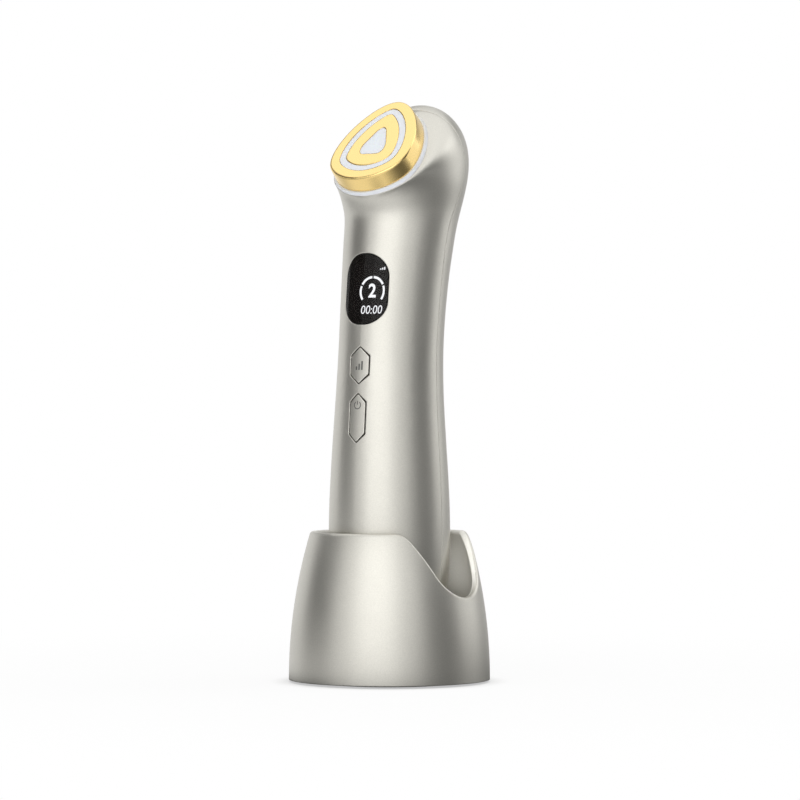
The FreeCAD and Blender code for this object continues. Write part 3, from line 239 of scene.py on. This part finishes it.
# %% Studio light
ROOM_GREY = 0.05
CEILING_GREY = 0.45
CEILING_FROM = (0.22, 0.52)
SPOT_RIM = 0.5
SPOT_SIZE = 4 * MM


def direction(azimuth, elevation):
    """Unit vector away from the device. The azimuth counts from the camera, to its right."""
    turn = CAMERA_AZIMUTH + math.radians(azimuth)
    lift = math.radians(elevation)
    return Vector((math.sin(turn) * math.cos(lift), -math.cos(turn) * math.cos(lift), math.sin(lift)))


def hang_lamp(data, power, target, away, distance):
    """Lamp at a distance from its target, aimed at it."""
    data.energy = power
    lamp = bpy.data.objects.new(data.name, data)
    lamp.location = target + away * distance
    lamp.rotation_euler = away.to_track_quat("Z", "Y").to_euler()
    scene.collection.objects.link(lamp)


def soft_box(name, azimuth, elevation, distance, width, height, power):
    """Area lamp aimed at the middle of the device."""
    data = bpy.data.lights.new(name, "AREA")
    data.shape = "RECTANGLE"
    data.size = width
    data.size_y = height
    hang_lamp(data, power, eye_level, direction(azimuth, elevation), distance)


soft_box("wide_box", azimuth=-15, elevation=4, distance=1.2, width=3.5, height=1.6, power=14.0)
soft_box("key_box", azimuth=-17, elevation=0, distance=1.2, width=1.1, height=1.4, power=4.0)
soft_box("edge_box", azimuth=107, elevation=20, distance=1.2, width=0.8, height=1.2, power=3.0)
soft_box("top_box", azimuth=130, elevation=86, distance=1.4, width=2.6, height=2.7, power=17.0)


def scoop_spot(azimuth, elevation, distance, target, cone, power):
    """Narrow spot with a soft rim, which reaches only the inside of the finger scoop."""
    data = bpy.data.lights.new("scoop_spot", "SPOT")
    data.spot_size = math.radians(cone)
    data.spot_blend = SPOT_RIM
    data.shadow_soft_size = SPOT_SIZE
    hang_lamp(data, power, target, direction(azimuth, elevation), distance)


scoop_middle = image_right * 29 * MM + Vector((0, 0, 42.5 * MM))
scoop_spot(azimuth=-1, elevation=12, distance=1.2, target=scoop_middle, cone=0.88, power=29)

world = bpy.data.worlds.new("studio_room")
world.use_nodes = True
scene.world = world
room = world.node_tree
heading = room.nodes.new("ShaderNodeTexCoord").outputs["Generated"]
upwards = add_node(room, "ShaderNodeSeparateXYZ", Vector=heading).outputs["Z"]
room_glow = soft_step(room, upwards, *CEILING_FROM, start=ROOM_GREY, end=CEILING_GREY)
looked_at = room.nodes.new("ShaderNodeLightPath").outputs["Is Camera Ray"]
background = room.nodes["Background"]
background.inputs["Color"].default_value = (1, 1, 1, 1)
feed(room, background.inputs["Strength"], sum_node(room, "MAXIMUM", looked_at, room_glow))

# %% [markdown]
# Effects that several finishes share are node groups: each is built once, and every material gives it its
# own values. The first is a fine speckle, as in a lacquer with pearl flakes or in moulded plastic. The
# second is a slow cloudiness, because no real surface is evenly glossy after a few days in use. The third
# rounds sharp edges a little in the shading, as paint and moulding do, and smooths the housing's shading
# where its surfaces join at the neck and down the front. The fourth finds sharp edges, for a painted
# highlight that lightens the colour along them, and the last tells the outside of the cradle from its
# inside.

# %% Shared effects
BEVEL_SAMPLES = 8
# Height of the join at the neck, how far around it and how far forward the wide rounding reaches.
NECK_LINE = 157.5 * MM
NECK_RADIUS = 5.5 * MM
NECK_REACH = (3 * MM, 8 * MM)
NECK_FRONT = (-5 * MM, 0.0)
# The join down the front is rounded too, but not beside an opening.
FRONT_OPENINGS = ("display_window", "level_button", "mode_button")
FRONT_RADIUS = 2.5 * MM
FRONT_CLEAR = (0.5 * MM, 5 * MM)
FRONT_REACH = (2 * MM, 4.5 * MM)
# Likeness of the plain and the rounded normal, from a sharp edge to a smooth face.
EDGE_LIKENESS = (0.8, 0.98)
# Blend between the cradle's outside and inside, around the given lean.
SIDE_BLEND = (-0.1, 0.1)


def effect_group(name, inputs, kind="NodeSocketFloat", label="Value"):
    """Empty group with named number inputs and one output."""
    group = bpy.data.node_groups.new(name, "ShaderNodeTree")
    for title, value in inputs.items():
        socket = group.interface.new_socket(title, in_out="INPUT", socket_type="NodeSocketFloat")
        socket.default_value = value
    group.interface.new_socket(label, in_out="OUTPUT", socket_type=kind)
    given = group.nodes.new("NodeGroupInput").outputs
    return group, given, group.nodes.new("NodeGroupOutput").inputs[label]


def make_speckle():
    """Cells of random brightness: Value is around 0, plus or minus half of Amount."""
    group, given, leave = effect_group("fine_speckle", {"Scale": 4000, "Amount": 0.1})
    place = group.nodes.new("ShaderNodeTexCoord").outputs["Object"]
    cell = add_node(group, "ShaderNodeTexVoronoi", Vector=place, Scale=given["Scale"])
    grey = add_node(group, "ShaderNodeSeparateColor", Color=cell.outputs["Color"])
    centred = sum_node(group, "SUBTRACT", grey.outputs["Red"], 0.5)
    feed(group, leave, sum_node(group, "MULTIPLY", centred, given["Amount"]))
    return group


def make_cloudiness():
    """Slow drift around Middle, by up to Amount either way."""
    group, given, leave = effect_group("slow_cloudiness", {"Scale": 40, "Middle": 0.4, "Amount": 0.05})
    place = group.nodes.new("ShaderNodeTexCoord").outputs["Object"]
    noise = add_node(group, "ShaderNodeTexNoise", Vector=place, Scale=given["Scale"], Detail=3)
    centred = sum_node(group, "SUBTRACT", noise.outputs["Fac"], 0.5)
    doubled = sum_node(group, "MULTIPLY", centred, 2.0)
    sized = sum_node(group, "MULTIPLY", doubled, given["Amount"])
    feed(group, leave, sum_node(group, "ADD", sized, given["Middle"]))
    return group


def rounded_normal(group, radius):
    """Normal as if every edge were rounded by this radius."""
    bevel = add_node(group, "ShaderNodeBevel", Radius=radius)
    bevel.samples = BEVEL_SAMPLES
    return bevel.outputs["Normal"]


def make_soft_edge():
    """Normal that turns smoothly around edges, over a radius in metres. Flow widens it on the joins."""
    sizes = {"Radius": 0.2 * MM, "Flow": 0.0}
    group, given, leave = effect_group("soft_edge", sizes, "NodeSocketVector", "Normal")
    place = group.nodes.new("ShaderNodeTexCoord").outputs["Object"]
    parts = add_node(group, "ShaderNodeSeparateXYZ", Vector=place).outputs
    from_neck = sum_node(group, "ABSOLUTE", sum_node(group, "SUBTRACT", parts["Z"], NECK_LINE))
    around = soft_step(group, from_neck, *NECK_REACH, start=NECK_RADIUS, end=0.0)
    neck = soft_step(group, parts["Y"], *NECK_FRONT, start=around, end=0.0)
    clear = 1.0
    for opening in FRONT_OPENINGS:
        low, high = (corner[2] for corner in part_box(opening))
        above = sum_node(group, "SUBTRACT", parts["Z"], (low + high) / 2)
        beyond = sum_node(group, "SUBTRACT", sum_node(group, "ABSOLUTE", above), (high - low) / 2)
        clear = sum_node(group, "MINIMUM", clear, beyond)
    front = soft_step(group, clear, *FRONT_CLEAR, start=0.0, end=FRONT_RADIUS)
    aside = sum_node(group, "ABSOLUTE", parts["X"])
    on_line = soft_step(group, aside, *FRONT_REACH, start=front, end=0.0)
    wider = sum_node(group, "MULTIPLY", sum_node(group, "MAXIMUM", neck, on_line), given["Flow"])
    feed(group, leave, rounded_normal(group, sum_node(group, "ADD", wider, given["Radius"])))
    return group


def make_painted_edge_highlight():
    """Painted highlight: Amount along sharp edges, within a radius in metres, and 0 on smooth faces."""
    group, given, leave = effect_group("painted_edge_highlight", {"Radius": 0.4 * MM, "Amount": 0.4})
    plain = group.nodes.new("ShaderNodeNewGeometry").outputs["Normal"]
    rounded = rounded_normal(group, given["Radius"])
    likeness = vector_node(group, "DOT_PRODUCT", rounded, plain).outputs["Value"]
    feed(group, leave, soft_step(group, likeness, *EDGE_LIKENESS, start=given["Amount"], end=0.0))
    return group


def make_outside():
    """1 on faces that look away from the upright axis or along it, and 0 on faces that look at it."""
    group, given, leave = effect_group("outer_side", {"Lean": -0.2})
    place = group.nodes.new("ShaderNodeTexCoord").outputs
    flat = vector_node(group, "MULTIPLY", place["Object"], (1, 1, 0)).outputs["Vector"]
    outwards = vector_node(group, "NORMALIZE", flat).outputs["Vector"]
    facing = vector_node(group, "DOT_PRODUCT", outwards, place["Normal"]).outputs["Value"]
    past = sum_node(group, "SUBTRACT", facing, given["Lean"])
    feed(group, leave, soft_step(group, past, *SIDE_BLEND))
    return group


fine_speckle = make_speckle()
slow_cloudiness = make_cloudiness()
soft_edge = make_soft_edge()
painted_edge_highlight = make_painted_edge_highlight()
outer_side = make_outside()


def place_group(tree, group, **values):
    """Put a group into a material with its own values, and give its output."""
    placed = tree.nodes.new("ShaderNodeGroup")
    placed.node_tree = group
    for label, value in values.items():
        placed.inputs[label].default_value = value
    return placed.outputs[0]


effects = (fine_speckle, slow_cloudiness, soft_edge, painted_edge_highlight, outer_side)
print("effects", [group.name for group in effects])

# %% [markdown]
# The housing and the cradle have a satin metallic lacquer, the head has gold plating and white diffusers,
# and the pieces inside are plastic, steel, boards and rubber. Pictures could be wrapped around them, but
# noise and cells in the object's own coordinates need no picture and show no joins. A finish is one
# Principled shader. Numbers that are the same all over sit on its own sockets. The colour is lightened and
# darkened a little by the speckle, the roughness drifts with the cloudiness, and the normal comes from the
# soft edges, with a fine bump on moulded plastic.

# %% Finishes
# Width of the painted highlight that lightens the lacquer colour along sharp edges.
GLINT_RADIUS = 0.35 * MM


def speckled(tree, colour, scale, amount, glint=0.0):
    """Colour that is lighter and darker from speck to speck, and lighter along edges by a painted highlight.
    """
    grain = place_group(tree, fine_speckle, Scale=scale, Amount=amount)
    value = sum_node(tree, "ADD", grain, 1.0)
    if glint:
        shine = place_group(tree, painted_edge_highlight, Radius=GLINT_RADIUS, Amount=glint)
        value = sum_node(tree, "ADD", value, shine)
    return add_node(tree, "ShaderNodeHueSaturation", Color=(*colour, 1), Value=value).outputs["Color"]


def finish(name, colour, roughness, cloud=0.04, cloud_scale=40, speckle=0.05, speckle_scale=4000, bump=0.0,
           edge=0.0, flow=0.0, glint=0.0, **plain):
    """Procedural finish. Further values go to sockets of the same name, with _ for a space."""
    material, tree, output = new_material(name)
    shader = add_node(tree, "ShaderNodeBsdfPrincipled")
    tree.links.new(shader.outputs["BSDF"], output.inputs["Surface"])
    base = speckled(tree, colour, speckle_scale, speckle, glint) if speckle else (*colour, 1)
    feed(tree, shader.inputs["Base Color"], base)
    gloss = place_group(tree, slow_cloudiness, Scale=cloud_scale, Middle=roughness, Amount=cloud)
    feed(tree, shader.inputs["Roughness"], gloss)
    normal = place_group(tree, soft_edge, Radius=edge, Flow=flow) if edge else None
    if bump:
        grain = place_group(tree, fine_speckle, Scale=speckle_scale, Amount=1.0)
        relief = add_node(tree, "ShaderNodeBump", Distance=bump, Strength=1.0, Height=grain)
        if normal:
            feed(tree, relief.inputs["Normal"], normal)
        normal = relief.outputs["Normal"]
    if normal:
        feed(tree, shader.inputs["Normal"], normal)
    for label, value in plain.items():
        shader.inputs[label.replace("_", " ")].default_value = value
    return material


PEARL = (0.66, 0.645, 0.59)
CREAM = (0.88, 0.865, 0.81)
# The lacquers' glint is a painted highlight along their sharp edges.
LACQUER = {"roughness": 0.40, "speckle": 0.10, "speckle_scale": 5200, "edge": 0.45 * MM, "glint": 0.3}
pearl_lacquer = finish("pearl_lacquer", PEARL, flow=1.0, Metallic=1.0, **LACQUER)
cradle_lacquer = finish("cradle_lacquer", PEARL, **LACQUER)
cream_moulding = finish("cream_moulding", CREAM, 0.5, bump=0.01 * MM)
black_moulding = finish("black_moulding", (0.02, 0.02, 0.02), 0.6, bump=0.02 * MM, speckle_scale=2500)
gold_plating = finish("gold_plating", (0.94, 0.70, 0.29), 0.21, cloud=0.03, speckle=0.04, speckle_scale=6000,
                      edge=0.5 * MM, Metallic=1.0)
white_diffuser = finish("white_diffuser", (0.86, 0.86, 0.89), 0.35, speckle=0.01, edge=0.15 * MM,
                        Subsurface_Weight=0.1)
black_window = finish("black_window", (0.012, 0.010, 0.009), 0.12, cloud=0.02, speckle=0.0, edge=0.4 * MM,
                      Alpha=0.6, Specular_IOR_Level=0.25)
dark_panel = finish("dark_panel", (0.03, 0.03, 0.035), 0.2, speckle=0.0)
grey_moulding = finish("grey_moulding", (0.18, 0.18, 0.19), 0.55, bump=0.02 * MM, speckle_scale=2500)
board_lacquer = finish("board_lacquer", (0.03, 0.16, 0.08), 0.35, speckle=0.08, speckle_scale=900)
chip_resin = finish("chip_resin", (0.03, 0.03, 0.03), 0.5, bump=0.01 * MM)
amber_film = finish("amber_film", (0.55, 0.26, 0.05), 0.3)
lamp_resin = finish("lamp_resin", (0.82, 0.78, 0.62), 0.15, speckle=0.0, Coat_Weight=0.6)
bright_steel = finish("bright_steel", (0.60, 0.60, 0.61), 0.28, Metallic=1.0)
black_rubber = finish("black_rubber", (0.03, 0.03, 0.03), 0.75, bump=0.03 * MM, speckle_scale=2000)
blue_sleeve = finish("blue_sleeve", (0.06, 0.20, 0.40), 0.3)

print("lacquers", pearl_lacquer.name, cradle_lacquer.name, "metals", gold_plating.name, bright_steel.name)

# %% [markdown]
# The cradle is one moulding with two finishes: lacquer outside, and bare pale plastic inside. It could be
# split into two pieces. Here a mask mixes the two in one material, because the shape is right as it is.

# %% Two finishes on the cradle
INNER_SPECKLE = (4000, 0.05)


def named_socket(sockets, identifier):
    """Socket of a Mix node, whose sockets share names and differ by their identifiers."""
    return next(socket for socket in sockets if socket.identifier == identifier)


lacquer_tree = cradle_lacquer.node_tree
lacquer_shader = lacquer_tree.nodes["Principled BSDF"]
base_socket = lacquer_shader.inputs["Base Color"]
outside = place_group(lacquer_tree, outer_side)
two_tone = lacquer_tree.nodes.new("ShaderNodeMix")
two_tone.data_type = "RGBA"
inner_colour = speckled(lacquer_tree, CREAM, *INNER_SPECKLE)
outer_colour = base_socket.links[0].from_socket
feed(lacquer_tree, named_socket(two_tone.inputs, "Factor_Float"), outside)
feed(lacquer_tree, named_socket(two_tone.inputs, "A_Color"), inner_colour)
feed(lacquer_tree, named_socket(two_tone.inputs, "B_Color"), outer_colour)
feed(lacquer_tree, base_socket, named_socket(two_tone.outputs, "Result_Color"))
feed(lacquer_tree, lacquer_shader.inputs["Metallic"], outside)
print("cradle lacquer", len(lacquer_tree.nodes), "nodes")

# %% [markdown]
# Every CAD piece names the stuff that it is made of, and that name picks its finish. Finishes could be set
# piece by piece, but then a new piece would be left bare. Three pieces get a finish of their own.

# %% Finishes on the pieces
SLOT_FINISHES = {
    "pearl_shell": pearl_lacquer,
    "gold_plate": gold_plating,
    "white_light": white_diffuser,
    "window_black": black_window,
    "display_dark": dark_panel,
    "inner_plastic": grey_moulding,
    "circuit_board": board_lacquer,
    "chip_black": chip_resin,
    "cable_amber": amber_film,
    "lamp_clear": lamp_resin,
    "steel": bright_steel,
    "rubber_foot": black_rubber,
    "battery_wrap": blue_sleeve,
}
NODE_FINISHES = {
    "cradle_shell": cradle_lacquer,
    "cradle_seat": cream_moulding,
    "display_frame": black_moulding,
}
for entry in frame["record"]["subparts"]:
    for slot in nodes[entry["node"]].material_slots:
        slot.material = NODE_FINISHES.get(entry["node"], SLOT_FINISHES[entry["material_slot"]])
print("finishes", len(SLOT_FINISHES) + len(NODE_FINISHES))

# %% [markdown]
# The display shows plain numbers and simple marks. The arcs of the dial and the rows of bars could be drawn
# one by one. They repeat, so they are made with Geometry Nodes: one small tree makes a strip and repeats
# it, and the named inputs of the tree set its sizes. The result is turned into a plain mesh, and the
# modifier goes away.

# %% Geometry Nodes
NUMBER = "NodeSocketFloat"
WHOLE = "NodeSocketInt"
ARC_POINTS = 33
BAR_POINTS = 9


def geometry_tree(name, inputs):
    """Empty tree with named inputs, the last of them the material."""
    tree = bpy.data.node_groups.new(name, "GeometryNodeTree")
    tree.interface.new_socket("Geometry", in_out="OUTPUT", socket_type="NodeSocketGeometry")
    for label, kind in inputs.items():
        tree.interface.new_socket(label, in_out="INPUT", socket_type=kind)
    tree.interface.new_socket("Material", in_out="INPUT", socket_type="NodeSocketMaterial")
    return tree, tree.nodes.new("NodeGroupInput").outputs


def end_tree(tree, given, instances):
    """Every tree ends the same way: instances become real geometry, which gets its material."""
    real = add_node(tree, "GeometryNodeRealizeInstances", Geometry=instances.outputs["Instances"])
    painted = add_node(tree, "GeometryNodeSetMaterial", Geometry=real.outputs["Geometry"],
                       Material=given["Material"])
    leave = tree.nodes.new("NodeGroupOutput")
    tree.links.new(painted.outputs["Geometry"], leave.inputs["Geometry"])


def make_dial_tree():
    """Arcs of a flat ring: one bent strip, repeated clockwise around the middle."""
    sizes = {"Radius": NUMBER, "Width": NUMBER, "Arcs": WHOLE, "Start": NUMBER, "Sweep": NUMBER,
             "Pitch": NUMBER}
    tree, given = geometry_tree("dial_arcs", sizes)
    strip = add_node(tree, "GeometryNodeMeshGrid", Vertices_X=ARC_POINTS, Vertices_Y=2)
    place = tree.nodes.new("GeometryNodeInputPosition").outputs["Position"]
    parts = add_node(tree, "ShaderNodeSeparateXYZ", Vector=place).outputs
    along = sum_node(tree, "MULTIPLY", parts["X"], given["Sweep"])
    angle = sum_node(tree, "ADD", along, given["Start"])
    inwards = sum_node(tree, "MULTIPLY", parts["Y"], given["Width"])
    reach = sum_node(tree, "SUBTRACT", given["Radius"], inwards)
    across = sum_node(tree, "MULTIPLY", sum_node(tree, "SINE", angle), reach)
    up = sum_node(tree, "MULTIPLY", sum_node(tree, "COSINE", angle), reach)
    bent_place = add_node(tree, "ShaderNodeCombineXYZ", X=across, Y=up).outputs["Vector"]
    bent = add_node(tree, "GeometryNodeSetPosition", Geometry=strip.outputs["Mesh"], Position=bent_place)
    spots = add_node(tree, "GeometryNodeMeshLine", Count=given["Arcs"], Offset=(0, 0, 0))
    index = tree.nodes.new("GeometryNodeInputIndex").outputs["Index"]
    turn = sum_node(tree, "MULTIPLY", index, given["Pitch"])
    clockwise = sum_node(tree, "MULTIPLY", turn, -1.0)
    spin = add_node(tree, "ShaderNodeCombineXYZ", Z=clockwise).outputs["Vector"]
    arcs = add_node(tree, "GeometryNodeInstanceOnPoints", Points=spots.outputs["Mesh"],
                    Instance=bent.outputs["Geometry"], Rotation=spin)
    end_tree(tree, given, arcs)
    return tree


def make_bar_tree():
    """Row of flat bars that stand on one line, each taller than the last by the same step."""
    sizes = {"Count": WHOLE, "Pitch": NUMBER, "Width": NUMBER, "Height": NUMBER, "Growth": NUMBER}
    tree, given = geometry_tree("bar_row", sizes)
    index = tree.nodes.new("GeometryNodeInputIndex").outputs["Index"]
    height = sum_node(tree, "ADD", sum_node(tree, "MULTIPLY", index, given["Growth"]), given["Height"])
    aside = sum_node(tree, "MULTIPLY", index, given["Pitch"])
    middle = sum_node(tree, "MULTIPLY", height, 0.5)
    place = add_node(tree, "ShaderNodeCombineXYZ", X=aside, Y=middle).outputs["Vector"]
    spots = add_node(tree, "GeometryNodeMeshLine", Count=given["Count"], Offset=(0, 0, 0))
    set_out = add_node(tree, "GeometryNodeSetPosition", Geometry=spots.outputs["Mesh"], Position=place)
    size = add_node(tree, "ShaderNodeCombineXYZ", X=given["Width"], Y=height, Z=1.0).outputs["Vector"]
    bar = add_node(tree, "GeometryNodeMeshGrid", Vertices_X=2, Vertices_Y=BAR_POINTS)
    bars = add_node(tree, "GeometryNodeInstanceOnPoints", Points=set_out.outputs["Geometry"],
                    Instance=bar.outputs["Mesh"], Scale=size)
    end_tree(tree, given, bars)
    return tree


dial_arcs = make_dial_tree()
bar_row = make_bar_tree()
print("trees", dial_arcs.name, bar_row.name)

# %% [markdown]
# The marks could be a picture on the display, but as meshes they stay sharp at any size. A tree or a line
# of text becomes a mesh in the same way: Blender works out the holder's final shape, and that shape is
# copied into a mesh of its own.

# %% Flat shapes


def final_mesh(holder):
    """Plain mesh of an object as Blender would draw it. The object itself is removed."""
    scene.collection.objects.link(holder)
    bpy.context.view_layer.update()
    drawn = holder.evaluated_get(bpy.context.evaluated_depsgraph_get())
    mesh = bpy.data.meshes.new_from_object(drawn)
    bpy.data.objects.remove(holder)
    return mesh


def flat_shape(tree, material, **values):
    """Run a tree with its named inputs set."""
    holder = bpy.data.objects.new("holder", bpy.data.meshes.new("holder"))
    modifier = holder.modifiers.new("shape", "NODES")
    modifier.node_group = tree
    values["Material"] = material
    for item in tree.interface.items_tree:
        if item.in_out == "INPUT":
            modifier[item.identifier] = values[item.name]
    return final_mesh(holder)


def flat_text(words, size, material, bold=0.0, slant=0.0):
    """Numbers as a flat mesh, centred on the origin."""
    curve = bpy.data.curves.new("numbers", "FONT")
    curve.body = words
    curve.size = size
    curve.offset = bold
    curve.shear = slant
    curve.align_x = "CENTER"
    curve.align_y = "CENTER"
    mesh = final_mesh(bpy.data.objects.new("holder", curve))
    mesh.materials.clear()
    mesh.materials.append(material)
    return mesh


print("flat shapes ready")

# %% [markdown]
# A flat shape is drawn around the origin and then laid onto the device. Its sheet is moved to the front of
# the display panel, or dropped straight onto the bowed front of a button. A Shrinkwrap modifier could do
# the same. Casting a ray from each point is as short, and leaves a plain mesh with nothing to apply.

# %% Laying marks on the device
INK_LIFT = 0.03 * MM
DROP_FROM = 20 * MM
FACES_FRONT = -0.9


def front_frame(name):
    """Frame on the front of a node: X to the right, Y up along the front, Z out of it."""
    mesh = nodes[name].data
    facing = [polygon for polygon in mesh.polygons if polygon.normal.y < FACES_FRONT]
    out = sum((polygon.normal * polygon.area for polygon in facing), Vector()).normalized()
    corners = [mesh.vertices[index].co for polygon in facing for index in polygon.vertices]
    low = Vector([min(corner[axis] for corner in corners) for axis in range(3)])
    high = Vector([max(corner[axis] for corner in corners) for axis in range(3)])
    across = Vector((1, 0, 0))
    matrix = Matrix((across, out.cross(across), out)).transposed().to_4x4()
    matrix.translation = (low + high) / 2
    return matrix


def lay(name, mesh, place, shift, body, onto=None):
    """Put a flat mesh in a frame, or drop it onto the surface of a node, and let it ride on a body."""
    mesh.transform(Matrix.Translation((*shift, INK_LIFT)))
    mesh.transform(place)
    if onto:
        skin = nodes[onto].data
        surface = BVHTree.FromPolygons([vertex.co for vertex in skin.vertices],
                                       [polygon.vertices for polygon in skin.polygons])
        inwards = -place.col[2].to_3d()
        for vertex in mesh.vertices:
            hit = surface.ray_cast(vertex.co - inwards * DROP_FROM, inwards)[0]
            vertex.co = hit - inwards * INK_LIFT
    piece = bpy.data.objects.new(name, mesh)
    scene.collection.objects.link(piece)
    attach(piece, body)
    print(name, "on", body, len(mesh.polygons), "faces")


print("marks lie", INK_LIFT, "m above what they are laid on")

# %% [markdown]
# The display glows through its dark window. The marks could be white paint, but the window would swallow
# most of their light, so they shine by themselves. The speckle in the light stands for the dots that a
# display is made of. A dial of four arcs with a number in it, a row of numbers for the time left and three
# small bars are all that it shows.

# %% Display
MARK_COLOUR = (0.93, 0.94, 0.97)
MARK_SPECKLE = (7000, 0.25)
MARK_STRENGTH = 6.5
MARK_ASIDE = 1.2 * MM
DIAL_PLACE = (MARK_ASIDE, -0.3 * MM)
NUMBER_PLACE = (MARK_ASIDE, -0.4 * MM)
TIMER_PLACE = (MARK_ASIDE, -6.75 * MM)
SIGNAL_PLACE = (4.2 * MM, 6.9 * MM)

lit_marks = finish("lit_marks", (0.02, 0.02, 0.02), 0.3, speckle=0.0)
lit_tree = lit_marks.node_tree
lit_shader = lit_tree.nodes["Principled BSDF"]
feed(lit_tree, lit_shader.inputs["Emission Color"], speckled(lit_tree, MARK_COLOUR, *MARK_SPECKLE))
lit_shader.inputs["Emission Strength"].default_value = MARK_STRENGTH

panel = front_frame("display_panel")
dial = flat_shape(dial_arcs, lit_marks, Radius=4.75 * MM, Width=0.8 * MM, Arcs=4,
                  Start=math.radians(-97.5), Sweep=math.radians(58), Pitch=math.radians(65))
lay("dial_arcs", dial, panel, DIAL_PLACE, "handset")
digit = flat_text("2", size=6.4 * MM, material=lit_marks, bold=0.16 * MM)
lay("dial_number", digit, panel, NUMBER_PLACE, "handset")
time_left = flat_text("00:00", size=4.0 * MM, material=lit_marks, slant=0.12)
lay("timer_numbers", time_left, panel, TIMER_PLACE, "handset")
signal = flat_shape(bar_row, lit_marks, Count=3, Pitch=0.8 * MM, Width=0.45 * MM, Height=0.45 * MM,
                    Growth=0.25 * MM)
lay("signal_bars", signal, panel, SIGNAL_PLACE, "handset")

# %% [markdown]
# The two buttons carry printed signs that need no words: rising bars on the level button and the common
# power sign on the mode button. They could be cut into the buttons, but print has no depth. It follows the
# bowed front of each button and moves with it.

# %% Button marks
LEVEL_PLACE = (-1.1 * MM, -1.5 * MM)
POWER_LIFT = 4.4 * MM
RING_PLACE = (0, POWER_LIFT)
POWER_BAR_PLACE = (0, POWER_LIFT + 0.15 * MM)

dark_ink = finish("dark_ink", (0.10, 0.10, 0.095), 0.45, speckle=0.1, speckle_scale=9000)
level = front_frame("level_button")
bars = flat_shape(bar_row, dark_ink, Count=3, Pitch=1.1 * MM, Width=0.6 * MM, Height=1.2 * MM,
                  Growth=0.9 * MM)
lay("level_bars", bars, level, LEVEL_PLACE, "level_key", onto="level_button")
mode = front_frame("mode_button")
ring = flat_shape(dial_arcs, dark_ink, Radius=1.25 * MM, Width=0.32 * MM, Arcs=1, Start=math.pi,
                  Sweep=math.radians(290), Pitch=0.0)
lay("power_ring", ring, mode, RING_PLACE, "mode_key", onto="mode_button")
bar = flat_shape(bar_row, dark_ink, Count=1, Pitch=0.0, Width=0.32 * MM, Height=1.3 * MM, Growth=0.0)
lay("power_bar", bar, mode, POWER_BAR_PLACE, "mode_key", onto="mode_button")
